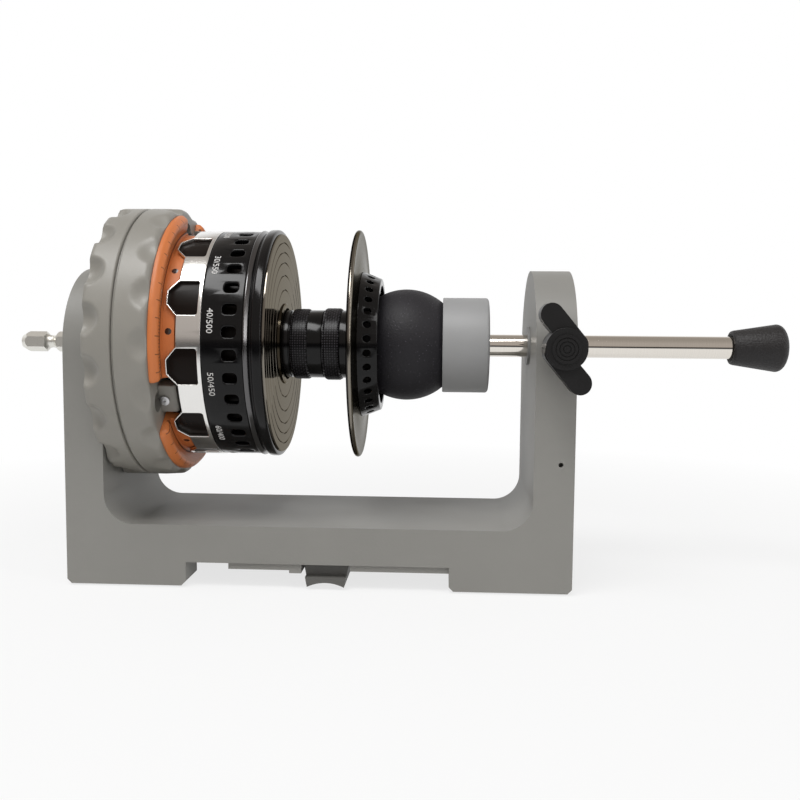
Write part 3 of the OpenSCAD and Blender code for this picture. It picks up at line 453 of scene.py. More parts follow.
@once
def turned_group():
    """Turned metal: fine rings about the spindle axis"""
    tree, given, out = new_group(
        "Turned rings",
        [("Roughness", "value", 0.15), ("Rings", "value", 9000), ("Depth", "value", 0.000002)],
        [("Mask", "value"), ("Roughness", "value"), ("Normal", "vector"), ("Along", "value")])
    along, across, up = spindle_places(tree)
    flat = add(tree, "CombineXYZ", {0: along, 1: distance(tree, across, up)}).outputs[0]
    lines = add(tree, "TexNoise", {"Vector": flat, "Scale": given["Rings"], "Detail": 1}).outputs["Fac"]
    tree.links.new(lines, out["Mask"])
    tree.links.new(along, out["Along"])
    swing = maths(tree, "SUBTRACT", lines, 0.5)
    tree.links.new(maths(tree, "MULTIPLY_ADD", swing, 0.12, given["Roughness"]), out["Roughness"])
    bump = add(tree, "Bump", {"Height": lines, "Distance": given["Depth"], "Strength": 1})
    tree.links.new(bump.outputs[0], out["Normal"])
    return tree


@once
def scale_and_crease_shade_group():
    """Painted shade as a dark line along a jaw's crease, and scale lines on its ridge's side, every fifth one longer
    """
    tree, given, out = new_group(
        "Scale lines and painted crease shade",
        [("Crease", "value", 0.04), ("Start", "value", 0.0), ("Pitch", "value", math.radians(1.5)),
         ("Long", "value", 0.0052), ("Short", "value", 0.0037), ("Width", "value", 0.32)],
        [("Mask", "value")])
    along, across, up = spindle_places(tree)
    out_by = maths(tree, "SUBTRACT", distance(tree, across, up), given["Crease"])
    turn = maths(tree, "DIVIDE", maths(tree, "ARCTAN2", up, across), given["Pitch"])

    def lines(share, width, reach):
        near = maths(tree, "ABSOLUTE", maths(tree, "SUBTRACT", maths(tree, "FRACT", share), 0.5))
        narrow = maths(tree, "LESS_THAN", near, maths(tree, "MULTIPLY", width, 0.5))
        return maths(tree, "MULTIPLY", narrow, maths(tree, "LESS_THAN", out_by, reach))

    fifth = maths(tree, "MULTIPLY", given["Width"], 0.2)
    either = maths(tree, "MAXIMUM", lines(turn, given["Width"], given["Short"]),
                   lines(maths(tree, "DIVIDE", turn, 5), fifth, given["Long"]))
    marks = maths(tree, "MULTIPLY", either, maths(tree, "GREATER_THAN", out_by, 0))
    # Painted shade: a dark line close to the crease, where the ridge meets the wall's foot
    near = maths(tree, "LESS_THAN", maths(tree, "ABSOLUTE", out_by), 0.3 * MM)
    front = maths(tree, "GREATER_THAN", along, given["Start"])
    tree.links.new(maths(tree, "MULTIPLY", maths(tree, "MAXIMUM", marks, near), front), out["Mask"])
    return tree


def material(name, **sockets):
    """A material and its Principled shader, with plain values on the shader's own sockets"""
    mat = bpy.data.materials.new(name)
    mat.use_nodes = True
    shader = mat.node_tree.nodes["Principled BSDF"]
    for key, value in sockets.items():
        shader.inputs[key.replace("_", " ").title().replace("Ior", "IOR")].default_value = value
    return mat, mat.node_tree, shader


def use_group(tree, group, values):
    node = tree.nodes.new("ShaderNodeGroup")
    node.node_tree = group
    for key, value in values.items():
        node.inputs[key].default_value = value
    return node.outputs


def rgba(color):
    return (*color, 1)


def mix(tree, factor, a, b):
    node = add(tree, "Mix", data_type="RGBA")
    for socket, value in ((node.inputs[0], factor), (node.inputs[6], a), (node.inputs[7], b)):
        if isinstance(value, bpy.types.NodeSocket):
            tree.links.new(value, socket)
        else:
            socket.default_value = value
    return node.outputs[2]


def dress(mat, shader, out, color):
    """Gives a shader its colour, and the roughness and normal that a group puts out"""
    links = mat.node_tree.links
    links.new(color, shader.inputs["Base Color"])
    for key in ("Roughness", "Normal"):
        links.new(out[key], shader.inputs[key])
    return mat


def with_grain(tree, color, roughness, spread, grain, depth):
    return use_group(tree, grain_group(), {"Color": rgba(color), "Spread": spread, "Roughness": roughness,
                                           "Grain": grain, "Depth": depth})


def moulded(name, color, roughness, spread=0.1, grain=2500, depth=0.00002, **sockets):
    """Plastic or rubber; spread is how far its shade wanders, and grain is per metre"""
    mat, tree, shader = material(name, **sockets)
    out = with_grain(tree, color, roughness, spread, grain, depth)
    return dress(mat, shader, out, out["Color"])


def times(color, share):
    return [c * share for c in color]


def shades(color, low_share, high_share):
    """A colour's darkest and brightest shade"""
    return rgba(times(color, low_share)), rgba(times(color, high_share))


def turned(name, color, roughness, rings=9000, depth=0.000002, **sockets):
    """Metal with fine rings, which are given per metre"""
    mat, tree, shader = material(name, metallic=1.0, **sockets)
    out = use_group(tree, turned_group(), {"Roughness": roughness, "Rings": rings, "Depth": depth})
    return dress(mat, shader, out, mix(tree, out["Mask"], *shades(color, 0.86, 1.14)))


def settings():
    return bpy.context.scene


# Finishes that need more than the two kinds above

def jaw_plastic():
    chuck = settings().winder_chuck
    mat, tree, shader = material("Jaw plastic", specular_ior_level=0.35)
    grain = with_grain(tree, chuck.jaw_color, 0.42, 0.3, 2600, 0.00008)
    marks = use_group(tree, scale_and_crease_shade_group(), {"Crease": chuck.crease_r, "Start": low("jaw_1").x + 1.2 * MM})["Mask"]
    # One dark colour for the printed scale lines and for the painted shade along the crease
    ink = rgba(times(chuck.jaw_color, 0.3))
    return dress(mat, shader, grain, mix(tree, marks, grain["Color"], ink))


def ball_rubber():
    """Closed cell foam: pale pinpricks on a dark, softly rough skin"""
    mat, tree, shader = material("Ball foam", specular_ior_level=0.35)
    out = with_grain(tree, settings().winder_tail.ball_color, 0.6, 0.3, 1500, 0.00012)
    coords = add(tree, "TexCoord").outputs["Object"]
    cells = add(tree, "TexVoronoi", {"Vector": coords, "Scale": 1700}).outputs
    lone = maths(tree, "GREATER_THAN", add(tree, "SeparateColor", {0: cells["Color"]}).outputs[0], 0.86)
    specks = maths(tree, "MULTIPLY", maths(tree, "LESS_THAN", cells["Distance"], 0.22), lone)
    return dress(mat, shader, out, mix(tree, specks, out["Color"], (0.075, 0.07, 0.085, 1)))


def band_anodised():
    mat, tree, shader = material("Black anodised metal", specular_ior_level=0.27)
    out = use_group(tree, turned_group(), {"Roughness": 0.15, "Rings": 7000, "Depth": 0.0000008})
    tone = mix(tree, out["Mask"], (0.0018, 0.0017, 0.0019, 1), (0.0035, 0.0033, 0.0037, 1))
    return dress(mat, shader, out, tone)


def flange_metal():
    """Black body whose outer face is polished down to the bright metal"""
    mat, tree, shader = material("Flange metal", metallic=1.0, specular_tint=(0.26, 0.25, 0.22, 1))
    out = use_group(tree, turned_group(), {"Roughness": 0.16, "Rings": 3500, "Depth": 0.0000015})
    outer = maths(tree, "GREATER_THAN", out["Along"], FLANGE_X + 0.75 * MM)
    face = mix(tree, out["Mask"], *shades(settings().winder_spool.face_color, 0.6, 1.5))
    return dress(mat, shader, out, mix(tree, outer, (0.03, 0.028, 0.026, 1), face))


@once
def knurled_metal_painted_glints():
    """Black metal with painted glints: its knurl's points are coloured lighter as highlights"""
    mat, tree, shader = material("Knurled metal", roughness=0.3, specular_ior_level=0.2)
    along, across, up = spindle_places(tree)
    turn = maths(tree, "MULTIPLY", maths(tree, "ARCTAN2", up, across), 44)
    along = maths(tree, "MULTIPLY", along, 3600)
    lattice = maths(tree, "MULTIPLY", maths(tree, "SINE", maths(tree, "ADD", turn, along)),
                    maths(tree, "SINE", maths(tree, "SUBTRACT", turn, along)))
    # Painted highlights: the lattice's peaks get a lighter colour as glints on the knurl's points
    point = maths(tree, "GREATER_THAN", lattice, 0.35)
    tree.links.new(mix(tree, point, (0.002, 0.0018, 0.0022, 1), (0.05, 0.046, 0.052, 1)), shader.inputs["Base Color"])
    return mat


@once
def number_ink():
    mat, tree, shader = material("Number ink", roughness=0.6)
    coords = add(tree, "TexCoord").outputs["Object"]
    worn = add(tree, "TexNoise", {"Vector": coords, "Scale": 2400, "Detail": 2}).outputs["Fac"]
    tree.links.new(mix(tree, worn, (0.4, 0.39, 0.38, 1), (0.75, 0.74, 0.72, 1)), shader.inputs["Base Color"])
    return mat


# One finish for each material slot of the record, made when a piece first asks for it
FINISHES = {slot: once(make) for slot, make in {
    "cradle_plastic": lambda: moulded("Cradle plastic", settings().winder_frame.color, 0.5, 0.16, 1800, 0.00003),
    # Saddle plastic is the cradle's colour darkened, as painted shade for its recess under the beam
    "saddle_plastic": lambda: moulded("Saddle plastic", times(settings().winder_frame.color, 0.42), 0.55, 0.12),
    "chuck_plastic": lambda: moulded("Chuck plastic", settings().winder_chuck.color, 0.42, 0.16, 1500, 0.00003),
    "guide_plastic": lambda: moulded("Guide plastic", times(settings().winder_chuck.color, 0.8), 0.45),
    "jaw_plastic": jaw_plastic,
    "housing_plastic": lambda: moulded("Housing plastic", settings().winder_tail.housing_color, 0.5, 0.08, 2600),
    "foot_rubber": lambda: moulded("Foot rubber", (0.02, 0.02, 0.02), 0.8, 0.2, 2200, 0.00008),
    "ball_rubber": ball_rubber,
    "cap_rubber": lambda: moulded("Cap rubber", (0.013, 0.0115, 0.012), 0.5, 0.5, 1400, 0.00025,
                                  specular_ior_level=0.4),
    "knob_plastic": lambda: moulded("Knob plastic", (0.0075, 0.0072, 0.0075), 0.42, 0.2, 3200, 0.00003,
                                    specular_ior_level=0.35),
    # Black drum plastic with a brown tint, which is a painted reflection of the orange jaws
    "drum_plastic": lambda: moulded("Drum plastic", (0.006, 0.0034, 0.0024), 0.3, 0.5, 900, 0.000005,
                                    specular_ior_level=0.12),
    "nylon": lambda: moulded("Nylon", (0.20, 0.20, 0.195), 0.5, 0.06),
    "bronze": lambda: turned("Bronze", (0.42, 0.24, 0.09), 0.4),
    "brass": lambda: turned("Brass", (0.55, 0.38, 0.12), 0.3),
    "bearing_steel": lambda: turned("Bearing steel", (0.6, 0.6, 0.61), 0.22),
    "shank_steel": lambda: turned("Shank steel", (0.82, 0.81, 0.76), 0.36, 5000, 0.000004),
    "dark_steel": lambda: turned("Dark steel", (0.13, 0.128, 0.13), 0.16),
    "hub_metal": lambda: turned("Hub metal", (0.35, 0.35, 0.36), 0.35, 4000, 0.000004),
    "slide_metal": lambda: turned("Slide metal", (0.14, 0.14, 0.15), 0.4),
    "skirt_chrome": lambda: turned("Skirt chrome", settings().winder_spool.chrome, 0.2, 6000, 0.0000012),
    "rod_chrome": lambda: turned("Rod chrome", settings().winder_tail.rod_color, 0.06, 5000, 0.0000004),
    "face_metal": lambda: turned("Face metal", settings().winder_spool.face_color, 0.09, 5000, 0.0000006,
                                 specular_tint=(0.42, 0.40, 0.36, 1)),
    "flange_metal": flange_metal,
    "band_anodised": band_anodised,
}.items()}


# Settings that a user would change

def length(label, text, default):
    return bpy.props.FloatProperty(name=label, description=text, default=default, unit="LENGTH", precision=5)


def colour(label, text, default):
    return bpy.props.FloatVectorProperty(name=label, description=text, default=default, subtype="COLOR",
                                         size=3, min=0, max=1)


def level(label, text, default):
    return bpy.props.FloatProperty(name=label, description=text, default=default, min=0)


def number(label, text, default):
    return bpy.props.IntProperty(name=label, description=text, default=default, min=1)


def turn_by(label, text, degrees):
    return bpy.props.FloatProperty(name=label, description=text, default=math.radians(degrees), subtype="ANGLE")


class WinderFrame(bpy.types.PropertyGroup):
    edge: length("Edge rounding", "Largest radius of the cradle's upright and top edges", 2.0 * MM)
    foot_edge: length("Foot rounding", "Largest radius of the lower edges of the feet", 0.9 * MM)
    color: colour("Color", "Colour of the cradle's plastic", (0.235, 0.229, 0.212))


class WinderChuck(bpy.types.PropertyGroup):
    scallops: number("Scallops", "Finger scallops round each edge", 18)
    scoop_r: length("Scoop radius", "Radius of the balls that scoop the ring's back edge", 6.5 * MM)
    scoop_out: length("Scoop distance", "How far outside the ring the scooping balls sit", 3.4 * MM)
    soft_r: length("Soft scoop radius", "Radius of the balls that dish the body's front edge", 9 * MM)
    soft_out: length("Soft scoop distance", "How far outside the body those balls sit", 7 * MM)
    color: colour("Color", "Colour of the chuck's plastic", (0.25, 0.238, 0.212))
    jaw_color: colour("Jaw color", "Colour of the jaws", (0.58, 0.175, 0.052))
    ridge_r: length("Ridge radius", "Radius of the middle of a jaw's round ridge", 43.2 * MM)
    ridge_round: length("Ridge rounding", "Radius of the ridge's own round top", 2.4 * MM)
    crease_r: length("Crease radius", "Radius at which the ridge meets the wall's foot", 39.6 * MM)
    jaw_half: turn_by("Jaw half angle", "Angle of a jaw to either side of its middle", 48)


class WinderSpool(bpy.types.PropertyGroup):
    windows: number("Windows", "Windows round the skirt", 11)
    band_holes: number("Band holes", "Holes round the black band", 33)
    turn: turn_by("Turn", "Angle of the first window about the spindle", 26.5)
    cup_holes: number("Cup holes", "Holes round the cup on the far rim", 32)
    number_size: length("Number size", "Height of the numbers on the band", 2.85 * MM)
    chrome: colour("Chrome", "Colour of the skirt", (0.86, 0.85, 0.83))
    face_color: colour("Face", "Colour of the polished face", (0.225, 0.205, 0.175))


class WinderTail(bpy.types.PropertyGroup):
    ball_back: length("Ball front", "From the ball's flat front to its middle", 15.2 * MM)
    ball_color: colour("Ball", "Colour of the foam ball", (0.0115, 0.0105, 0.0135))
    housing_color: colour("Housing", "Colour of the bearing housing", (0.285, 0.285, 0.285))
    rod_color: colour("Rod", "Colour of the plated rod", (0.82, 0.78, 0.72))


class WinderStage(bpy.types.PropertyGroup):
    floor_color: colour("Floor", "Colour of the floor", (0.78, 0.78, 0.775))
    key: level("Key", "Level of the wide lamp at the upper left", 0.8)
    side: level("Side", "Level of the tall lamp at the right", 0.16)
    front: level("Front", "Level of the soft fill at the front", 0.1)
    sky: level("Sky", "Level of the soft light all round", 0.33)


# Pieces

class WINDER_OT_cradle(bpy.types.Operator):
    """Cradle with its rounded edges, and the shoe under its beam"""
    bl_idname = "winder.cradle"
    bl_label = "Cradle"

    def execute(self, context):
        given = context.scene.winder_frame
        bm = merged_copy("cradle_frame")
        half, top = high("cradle_frame").y, high("cradle_frame").z
        arch_z = top - half
        under_beam, foot_depth, near = low("saddle_shoe").z + 8 * MM, 15 * MM, 0.05 * MM

        def outer(edge):
            return all(abs(math.hypot(v.co.y, max(0, v.co.z - arch_z)) - half) < near for v in edge.verts)

        def upper(edge):
            return outer(edge) and max(v.co.z for v in edge.verts) > under_beam + MM

        def lower(edge):
            return all(v.co.z < under_beam + MM and abs(v.co.y) > half - foot_depth for v in edge.verts)

        soften(bm, given.edge, 5, 30, upper)
        soften(bm, given.foot_edge, 3, 40, lower)
        even_normals(place("cradle", bm, "cradle", "cradle_plastic", ["cradle_frame"]))
        bm = merged_copy("saddle_shoe")
        soften(bm, 0.4 * MM, 3, 35)
        even_normals(place("saddle", bm, "cradle", "saddle_plastic", ["saddle_shoe"]))
        return {"FINISHED"}


class WINDER_OT_grip_ring(bpy.types.Operator):
    """Ring that the hand turns, with soft scoops round its back edge"""
    bl_idname = "winder.grip_ring"
    bl_label = "Grip ring"

    def execute(self, context):
        given = context.scene.winder_chuck
        clear, edge = 0.2 * MM, 0.4 * MM
        wall_r, flange_r = radius("scroll_plate") + clear, radius("chuck_hub") + clear
        web, lip = 3.8 * MM, 1.7 * MM
        rows = [RING_X + (SEAM_X - RING_X) * k / 16 for k in range(1, 16)]
        backs = [flange_r + (CHUCK_R - flange_r) * k / 20 for k in range(20)]
        profile = [(RING_X, r) for r in backs] + from_here(RING_X, CHUCK_R, [(0, -1), (0.3, -0.3)])
        profile += [(x, CHUCK_R) for x in rows if x > RING_X + MM]
        profile += [(SEAM_X - edge, CHUCK_R), (SEAM_X, CHUCK_R - edge), (SEAM_X, wall_r)]
        profile += [(RING_X + web, wall_r), (RING_X + web, HUB_HOLE_R), (RING_X + lip, HUB_HOLE_R),
                    (RING_X + lip, flange_r)]
        bm = lathe(profile, 24 * given.scallops)
        turns = [FULL * (i + 0.5) / given.scallops for i in range(given.scallops)]
        dish_out(bm, [(RING_X + 0.3 * MM, t, CHUCK_R + given.scoop_out) for t in turns], given.scoop_r, 0.7 * MM)
        place("grip_ring_looks", bm, "ring", "chuck_plastic", ["grip_ring"], 50)
        return {"FINISHED"}


class WINDER_OT_chuck_body(bpy.types.Operator):
    """Chuck body with its soft dished front edge, jaw slots and the stops between the jaws"""
    bl_idname = "winder.chuck_body"
    bl_label = "Chuck body"

    def execute(self, context):
        given = context.scene.winder_chuck
        back = low("chuck_body").x
        step, rim, groove, edge = 1.0 * MM, 2.0 * MM, 0.8 * MM, 0.4 * MM
        cap_t, bore_r = 4.5 * MM, 4.2 * MM
        first = SEAM_X + groove + edge
        rows = [first + (FACE_X - rim - first) * k / 14 for k in range(15)]
        inner = [CHUCK_R - rim - (CHUCK_R - rim - HUB_HOLE_R) * k / 16 for k in range(17)]
        profile = [(back, HUB_HOLE_R), (back, CHUCK_R - step), (SEAM_X + groove, CHUCK_R - step)]
        profile += [(SEAM_X + groove, CHUCK_R - edge)] + [(x, CHUCK_R) for x in rows]
        profile += arc(FACE_X - rim, CHUCK_R - rim, rim, math.radians(18), math.radians(72), 3)
        profile += [(FACE_X, r) for r in inner]
        profile += [(FACE_X, bore_r), (FACE_X - cap_t, bore_r), (FACE_X - cap_t, HUB_HOLE_R)]
        bm = lathe(profile, 16 * given.scallops)
        turns = [FULL * i / given.scallops for i in range(given.scallops)]
        dish_out(bm, [(FACE_X + 0.6 * MM, t, CHUCK_R + given.soft_out) for t in turns], given.soft_r, 1.1 * MM)
        body = place("chuck_body_looks", bm, "spindle", "chuck_plastic", ["chuck_body"], 50)
        cut_away(body, self.slots_and_holes())
        smooth(body, 40)
        self.stops()
        return {"FINISHED"}

    def slots_and_holes(self):
        """Neck slots of the jaws and the dark holes in the gaps, as one cutter"""
        bm = bmesh.new()
        size = Matrix.Diagonal((24 * MM, 24.2 * MM, 7.2 * MM, 1))
        slot_at, hole_at, hole_r = 29.1 * MM, 40 * MM, 3.3 * MM
        for turn in JAWS.values():
            slot = about_spindle(turn) @ Matrix.Translation((FACE_X, slot_at, 0))
            bmesh.ops.create_cube(bm, size=1, matrix=slot @ size)
            hole = about_spindle(turn + FULL / 6) @ Matrix.Translation((FACE_X, hole_at, 0))
            bmesh.ops.create_cone(bm, cap_ends=True, segments=40, radius1=hole_r, radius2=hole_r, depth=8 * MM,
                                  matrix=hole @ Matrix.Rotation(math.pi / 2, 4, "Y"))
        return bm

    def stops(self):
        """Grey blocks in the gaps between the jaws, round the screws of the guide blocks"""
        top = high("guide_blocks").x
        inner, outer, half = 33.5 * MM, 38.5 * MM, math.radians(7.6)
        profile = [(FACE_X, inner), (FACE_X, outer)] + from_here(top, outer, [(-1.2, 0), (0, -0.8)]) + [(top, inner)]
        for k, turn in JAWS.items():
            bm = sector(profile, turn + FULL / 6, half, 8)
            soften(bm, 0.35 * MM, 3, 50)
            even_normals(place(f"stop_{k}", bm, "spindle", "guide_plastic", ["guide_blocks"]))


class WINDER_OT_jaws(bpy.types.Operator):
    """Three orange jaws with a round ridge, a scale along the crease and a wall that grips"""
    bl_idname = "winder.jaws"
    bl_label = "Jaws"

    def execute(self, context):
        given = context.scene.winder_chuck
        x0, x1 = low("jaw_1").x, high("jaw_1").x
        wall_r = radius("spool_skirt") - 1.5 * MM
        wall_t, foot = 2.7 * MM, 2.4 * MM
        profile = self.profile(given, x0, x0 + foot, x1, wall_r, wall_t)
        round_end, middle_r, top_t = 1.7 * MM, given.ridge_r - 0.4 * MM, 3.1 * MM
        end = round_end / given.ridge_r
        for k, turn in JAWS.items():
            bm = sector(profile, turn, given.jaw_half, 44, end)
            for v in bm.verts:
                r, angle = polar(v)
                past = abs(math.remainder(angle - turn, FULL)) - given.jaw_half + end
                if r > given.crease_r + 0.1 * MM and past > 0:
                    inward = round_end * (1 - math.sqrt(max(0, 1 - min(1, past / end) ** 2)))
                    share = 1 - inward / top_t
                    v.co.x = x0 + (v.co.x - x0) * share
                    set_distance(v, r, middle_r + (r - middle_r) * share)
            jaw = place(f"jaw_{k}_looks", bm, f"jaw_body_{k}", "jaw_plastic", [f"jaw_{k}"], 32)
            cut_away(jaw, self.pin_holes(turn, wall_r, x0 + (foot + x1 - x0) / 2))
            smooth(jaw, 32)
        return {"FINISHED"}

    def profile(self, given, x0, foot_x, x1, wall_r, wall_t):
        """Section of a jaw: rounded ridge, sharp crease at its foot, and the wall inside the skirt"""
        inner, corner_cut = 30 * MM, 0.6 * MM
        top = from_here(x0, given.ridge_r + given.ridge_round, [(0, 0), (1.35, 0)])
        flank = [Vector(p) for p in top + from_here(x0, given.ridge_r, [(2.9, 0.9), (2.9, -0.8)])]
        profile = [(x0, inner), tuple(flank[0])]
        for last, corner, following in zip(flank, flank[1:], flank[2:]):
            start = corner + (last - corner).normalized() * corner_cut
            end = corner + (following - corner).normalized() * corner_cut
            profile += [tuple(start.lerp(corner, t).lerp(corner.lerp(end, t), t)) for t in (0, 0.25, 0.5, 0.75, 1)]
        profile += from_here(x0, given.ridge_r, [(2.75, -1.3)])
        profile += from_here(x0, given.crease_r, [(2.05, 0.14), (1.7, 0), (2.1, -0.14)])
        return profile + [(foot_x, wall_r), (x1, wall_r - 0.2 * MM), (x1, wall_r - wall_t),
                          (foot_x, wall_r - wall_t), (foot_x, inner)]

    def pin_holes(self, turn, wall_r, x):
        """Shallow countersunk holes in the wall, as one cutter"""
        bm = bmesh.new()
        for offset in (25.5, -6.9, -27.5):
            lay = about_spindle(turn + math.radians(offset)) @ Matrix.Translation((x, wall_r, 0))
            bmesh.ops.create_cone(bm, cap_ends=True, segments=24, radius1=0.95 * MM, radius2=1.3 * MM,
                                  depth=2.4 * MM, matrix=lay @ Matrix.Rotation(-math.pi / 2, 4, "X"))
        return bm


class WINDER_OT_skirt(bpy.types.Operator):
    """Plated skirt with pointed windows whose rims stand out as tabs, and the drum behind"""
    bl_idname = "winder.skirt"
    bl_label = "Skirt"

    def execute(self, context):
        given = context.scene.winder_spool
        x0, x1, r = extent("spool_skirt")
        rim, tip, wide = 0.5 * MM, 2.2 * MM, 6.0 * MM
        shoulder, depth, tab = 3.2 * MM, 9.9 * MM, 3.6 * MM
        middle = math.pi * r / given.windows
        window = rounded([(rim, middle - tip), (rim, middle + tip), (rim + shoulder, middle + wide),
                          (rim + depth, middle + wide), (rim + depth, middle - wide),
                          (rim + shoulder, middle - wide)], 0.9 * MM)
        reach = x1 - x0
        outline = self.tabs(given, r, reach, 0, tip + rim / 2, tab, wide + rim)
        self.sleeve(given, "skirt", "skirt_chrome", r, reach, SKIRT_WALL, outline, [window], 0.22 * MM,
                    ["spool_skirt"])
        # Dark lining seen through the windows, in the drum's plastic, whose brown tint is a painted reflection of the
        # jaws
        inside, reach, near = r - SKIRT_WALL - 0.02 * MM, BAND_X - SKIRT_X, 0.15 * MM
        outline = self.tabs(given, inside, reach, near, tip + near, tab + near, wide + near)
        self.sleeve(given, "skirt_lining", "drum_plastic", inside, reach, 0.2 * MM, outline, [], 0.04 * MM)
        self.drum()
        return {"FINISHED"}

    def tabs(self, given, r, reach, tip_x, tip, tab_x, wide):
        """Flat outline of one panel, which ends in a pointed tab at the jaws"""
        pitch = FULL * r / given.windows
        middle = pitch / 2
        return [(reach, 0), (reach, pitch), (tab_x, pitch), (tab_x, middle + wide), (tip_x, middle + tip),
                (tip_x, middle - tip), (tab_x, middle - wide), (tab_x, 0)]

    def sleeve(self, given, name, slot, r, reach, wall, outline, holes, edge, nodes=()):
        bm = wrapped(SKIRT_X, reach, r, r, wall, given.windows, outline, holes, edge, 20)
        turn_mesh(bm, given.turn - math.pi / given.windows)
        place(name, bm, "spindle", slot, nodes)

    def drum(self):
        """Dark drum behind the windows, in two steps; the brown in its black is a painted reflection of the jaws"""
        x0, x1, r = extent("spool_drum")
        step, small, inner = x0 + 3.6 * MM, r - 1.2 * MM, r - 3 * MM
        profile = [(x0, r - 2 * MM), (x0, r), (step, r), (step, small), (RIM_X, small), (x1, small),
                   (x1, SPOOL_BORE_R), (RIM_X, SPOOL_BORE_R), (RIM_X, inner), (step, inner)]
        bm = lathe(profile, 128)
        soften(bm, 0.2 * MM, 2, 40)
        place("drum", bm, "spindle", "drum_plastic", ["spool_drum"])


class WINDER_OT_band(bpy.types.Operator):
    """Black band with its ring of holes and a row of plain numbers"""
    bl_idname = "winder.band"
    bl_label = "Band"

    def execute(self, context):
        given = context.scene.winder_spool
        r, reach = radius("spool_band"), RIM_X - BAND_X - BEAD_REACH
        pitch = FULL * r / given.band_holes
        middle, at = pitch / 2, 9.1 * MM
        w, h = 1.75 * MM, 2.3 * MM
        hole = rounded([(at - h, middle - w), (at - h, middle + w), (at + h, middle + w), (at + h, middle - w)],
                       1.3 * MM, 6)
        bm = wrapped(BAND_X, reach, r, r, 2.5 * MM, given.band_holes, panel(reach, pitch), [hole], 0.5 * MM, 6)
        turn_mesh(bm, given.turn)
        place("band", bm, "spindle", "band_anodised", ["spool_band"])
        self.numbers(given, r)
        return {"FINISHED"}

    def numbers(self, given, r):
        """Plain pairs of numbers, read down the front, with their tops towards the tail"""
        bm = bmesh.new()
        count, first, wider = 12, math.radians(78.5), 1.05
        base_x, proud = BAND_X + 2.0 * MM, 0.015 * MM
        for k in range(count):
            text = bpy.data.curves.new("number", "FONT")
            text.body, text.size, text.align_x = f"{10 * (k + 1)}/{650 - 50 * k}", given.number_size, "CENTER"
            text.extrude, text.resolution_u = 0.03 * MM, 3
            carrier = new_object("number", text)
            flat = finished_mesh(carrier)
            bpy.data.objects.remove(carrier)
            for v in flat.vertices:
                at, out = first + FULL * k / count + wider * v.co.x / r, r + v.co.z + proud
                v.co = (base_x + v.co.y, out * math.cos(at), AXIS + out * math.sin(at))
            bm.from_mesh(flat)
        numbers = place("band_numbers", bm, "spindle", "band_anodised")
        numbers.data.materials[0] = number_ink()


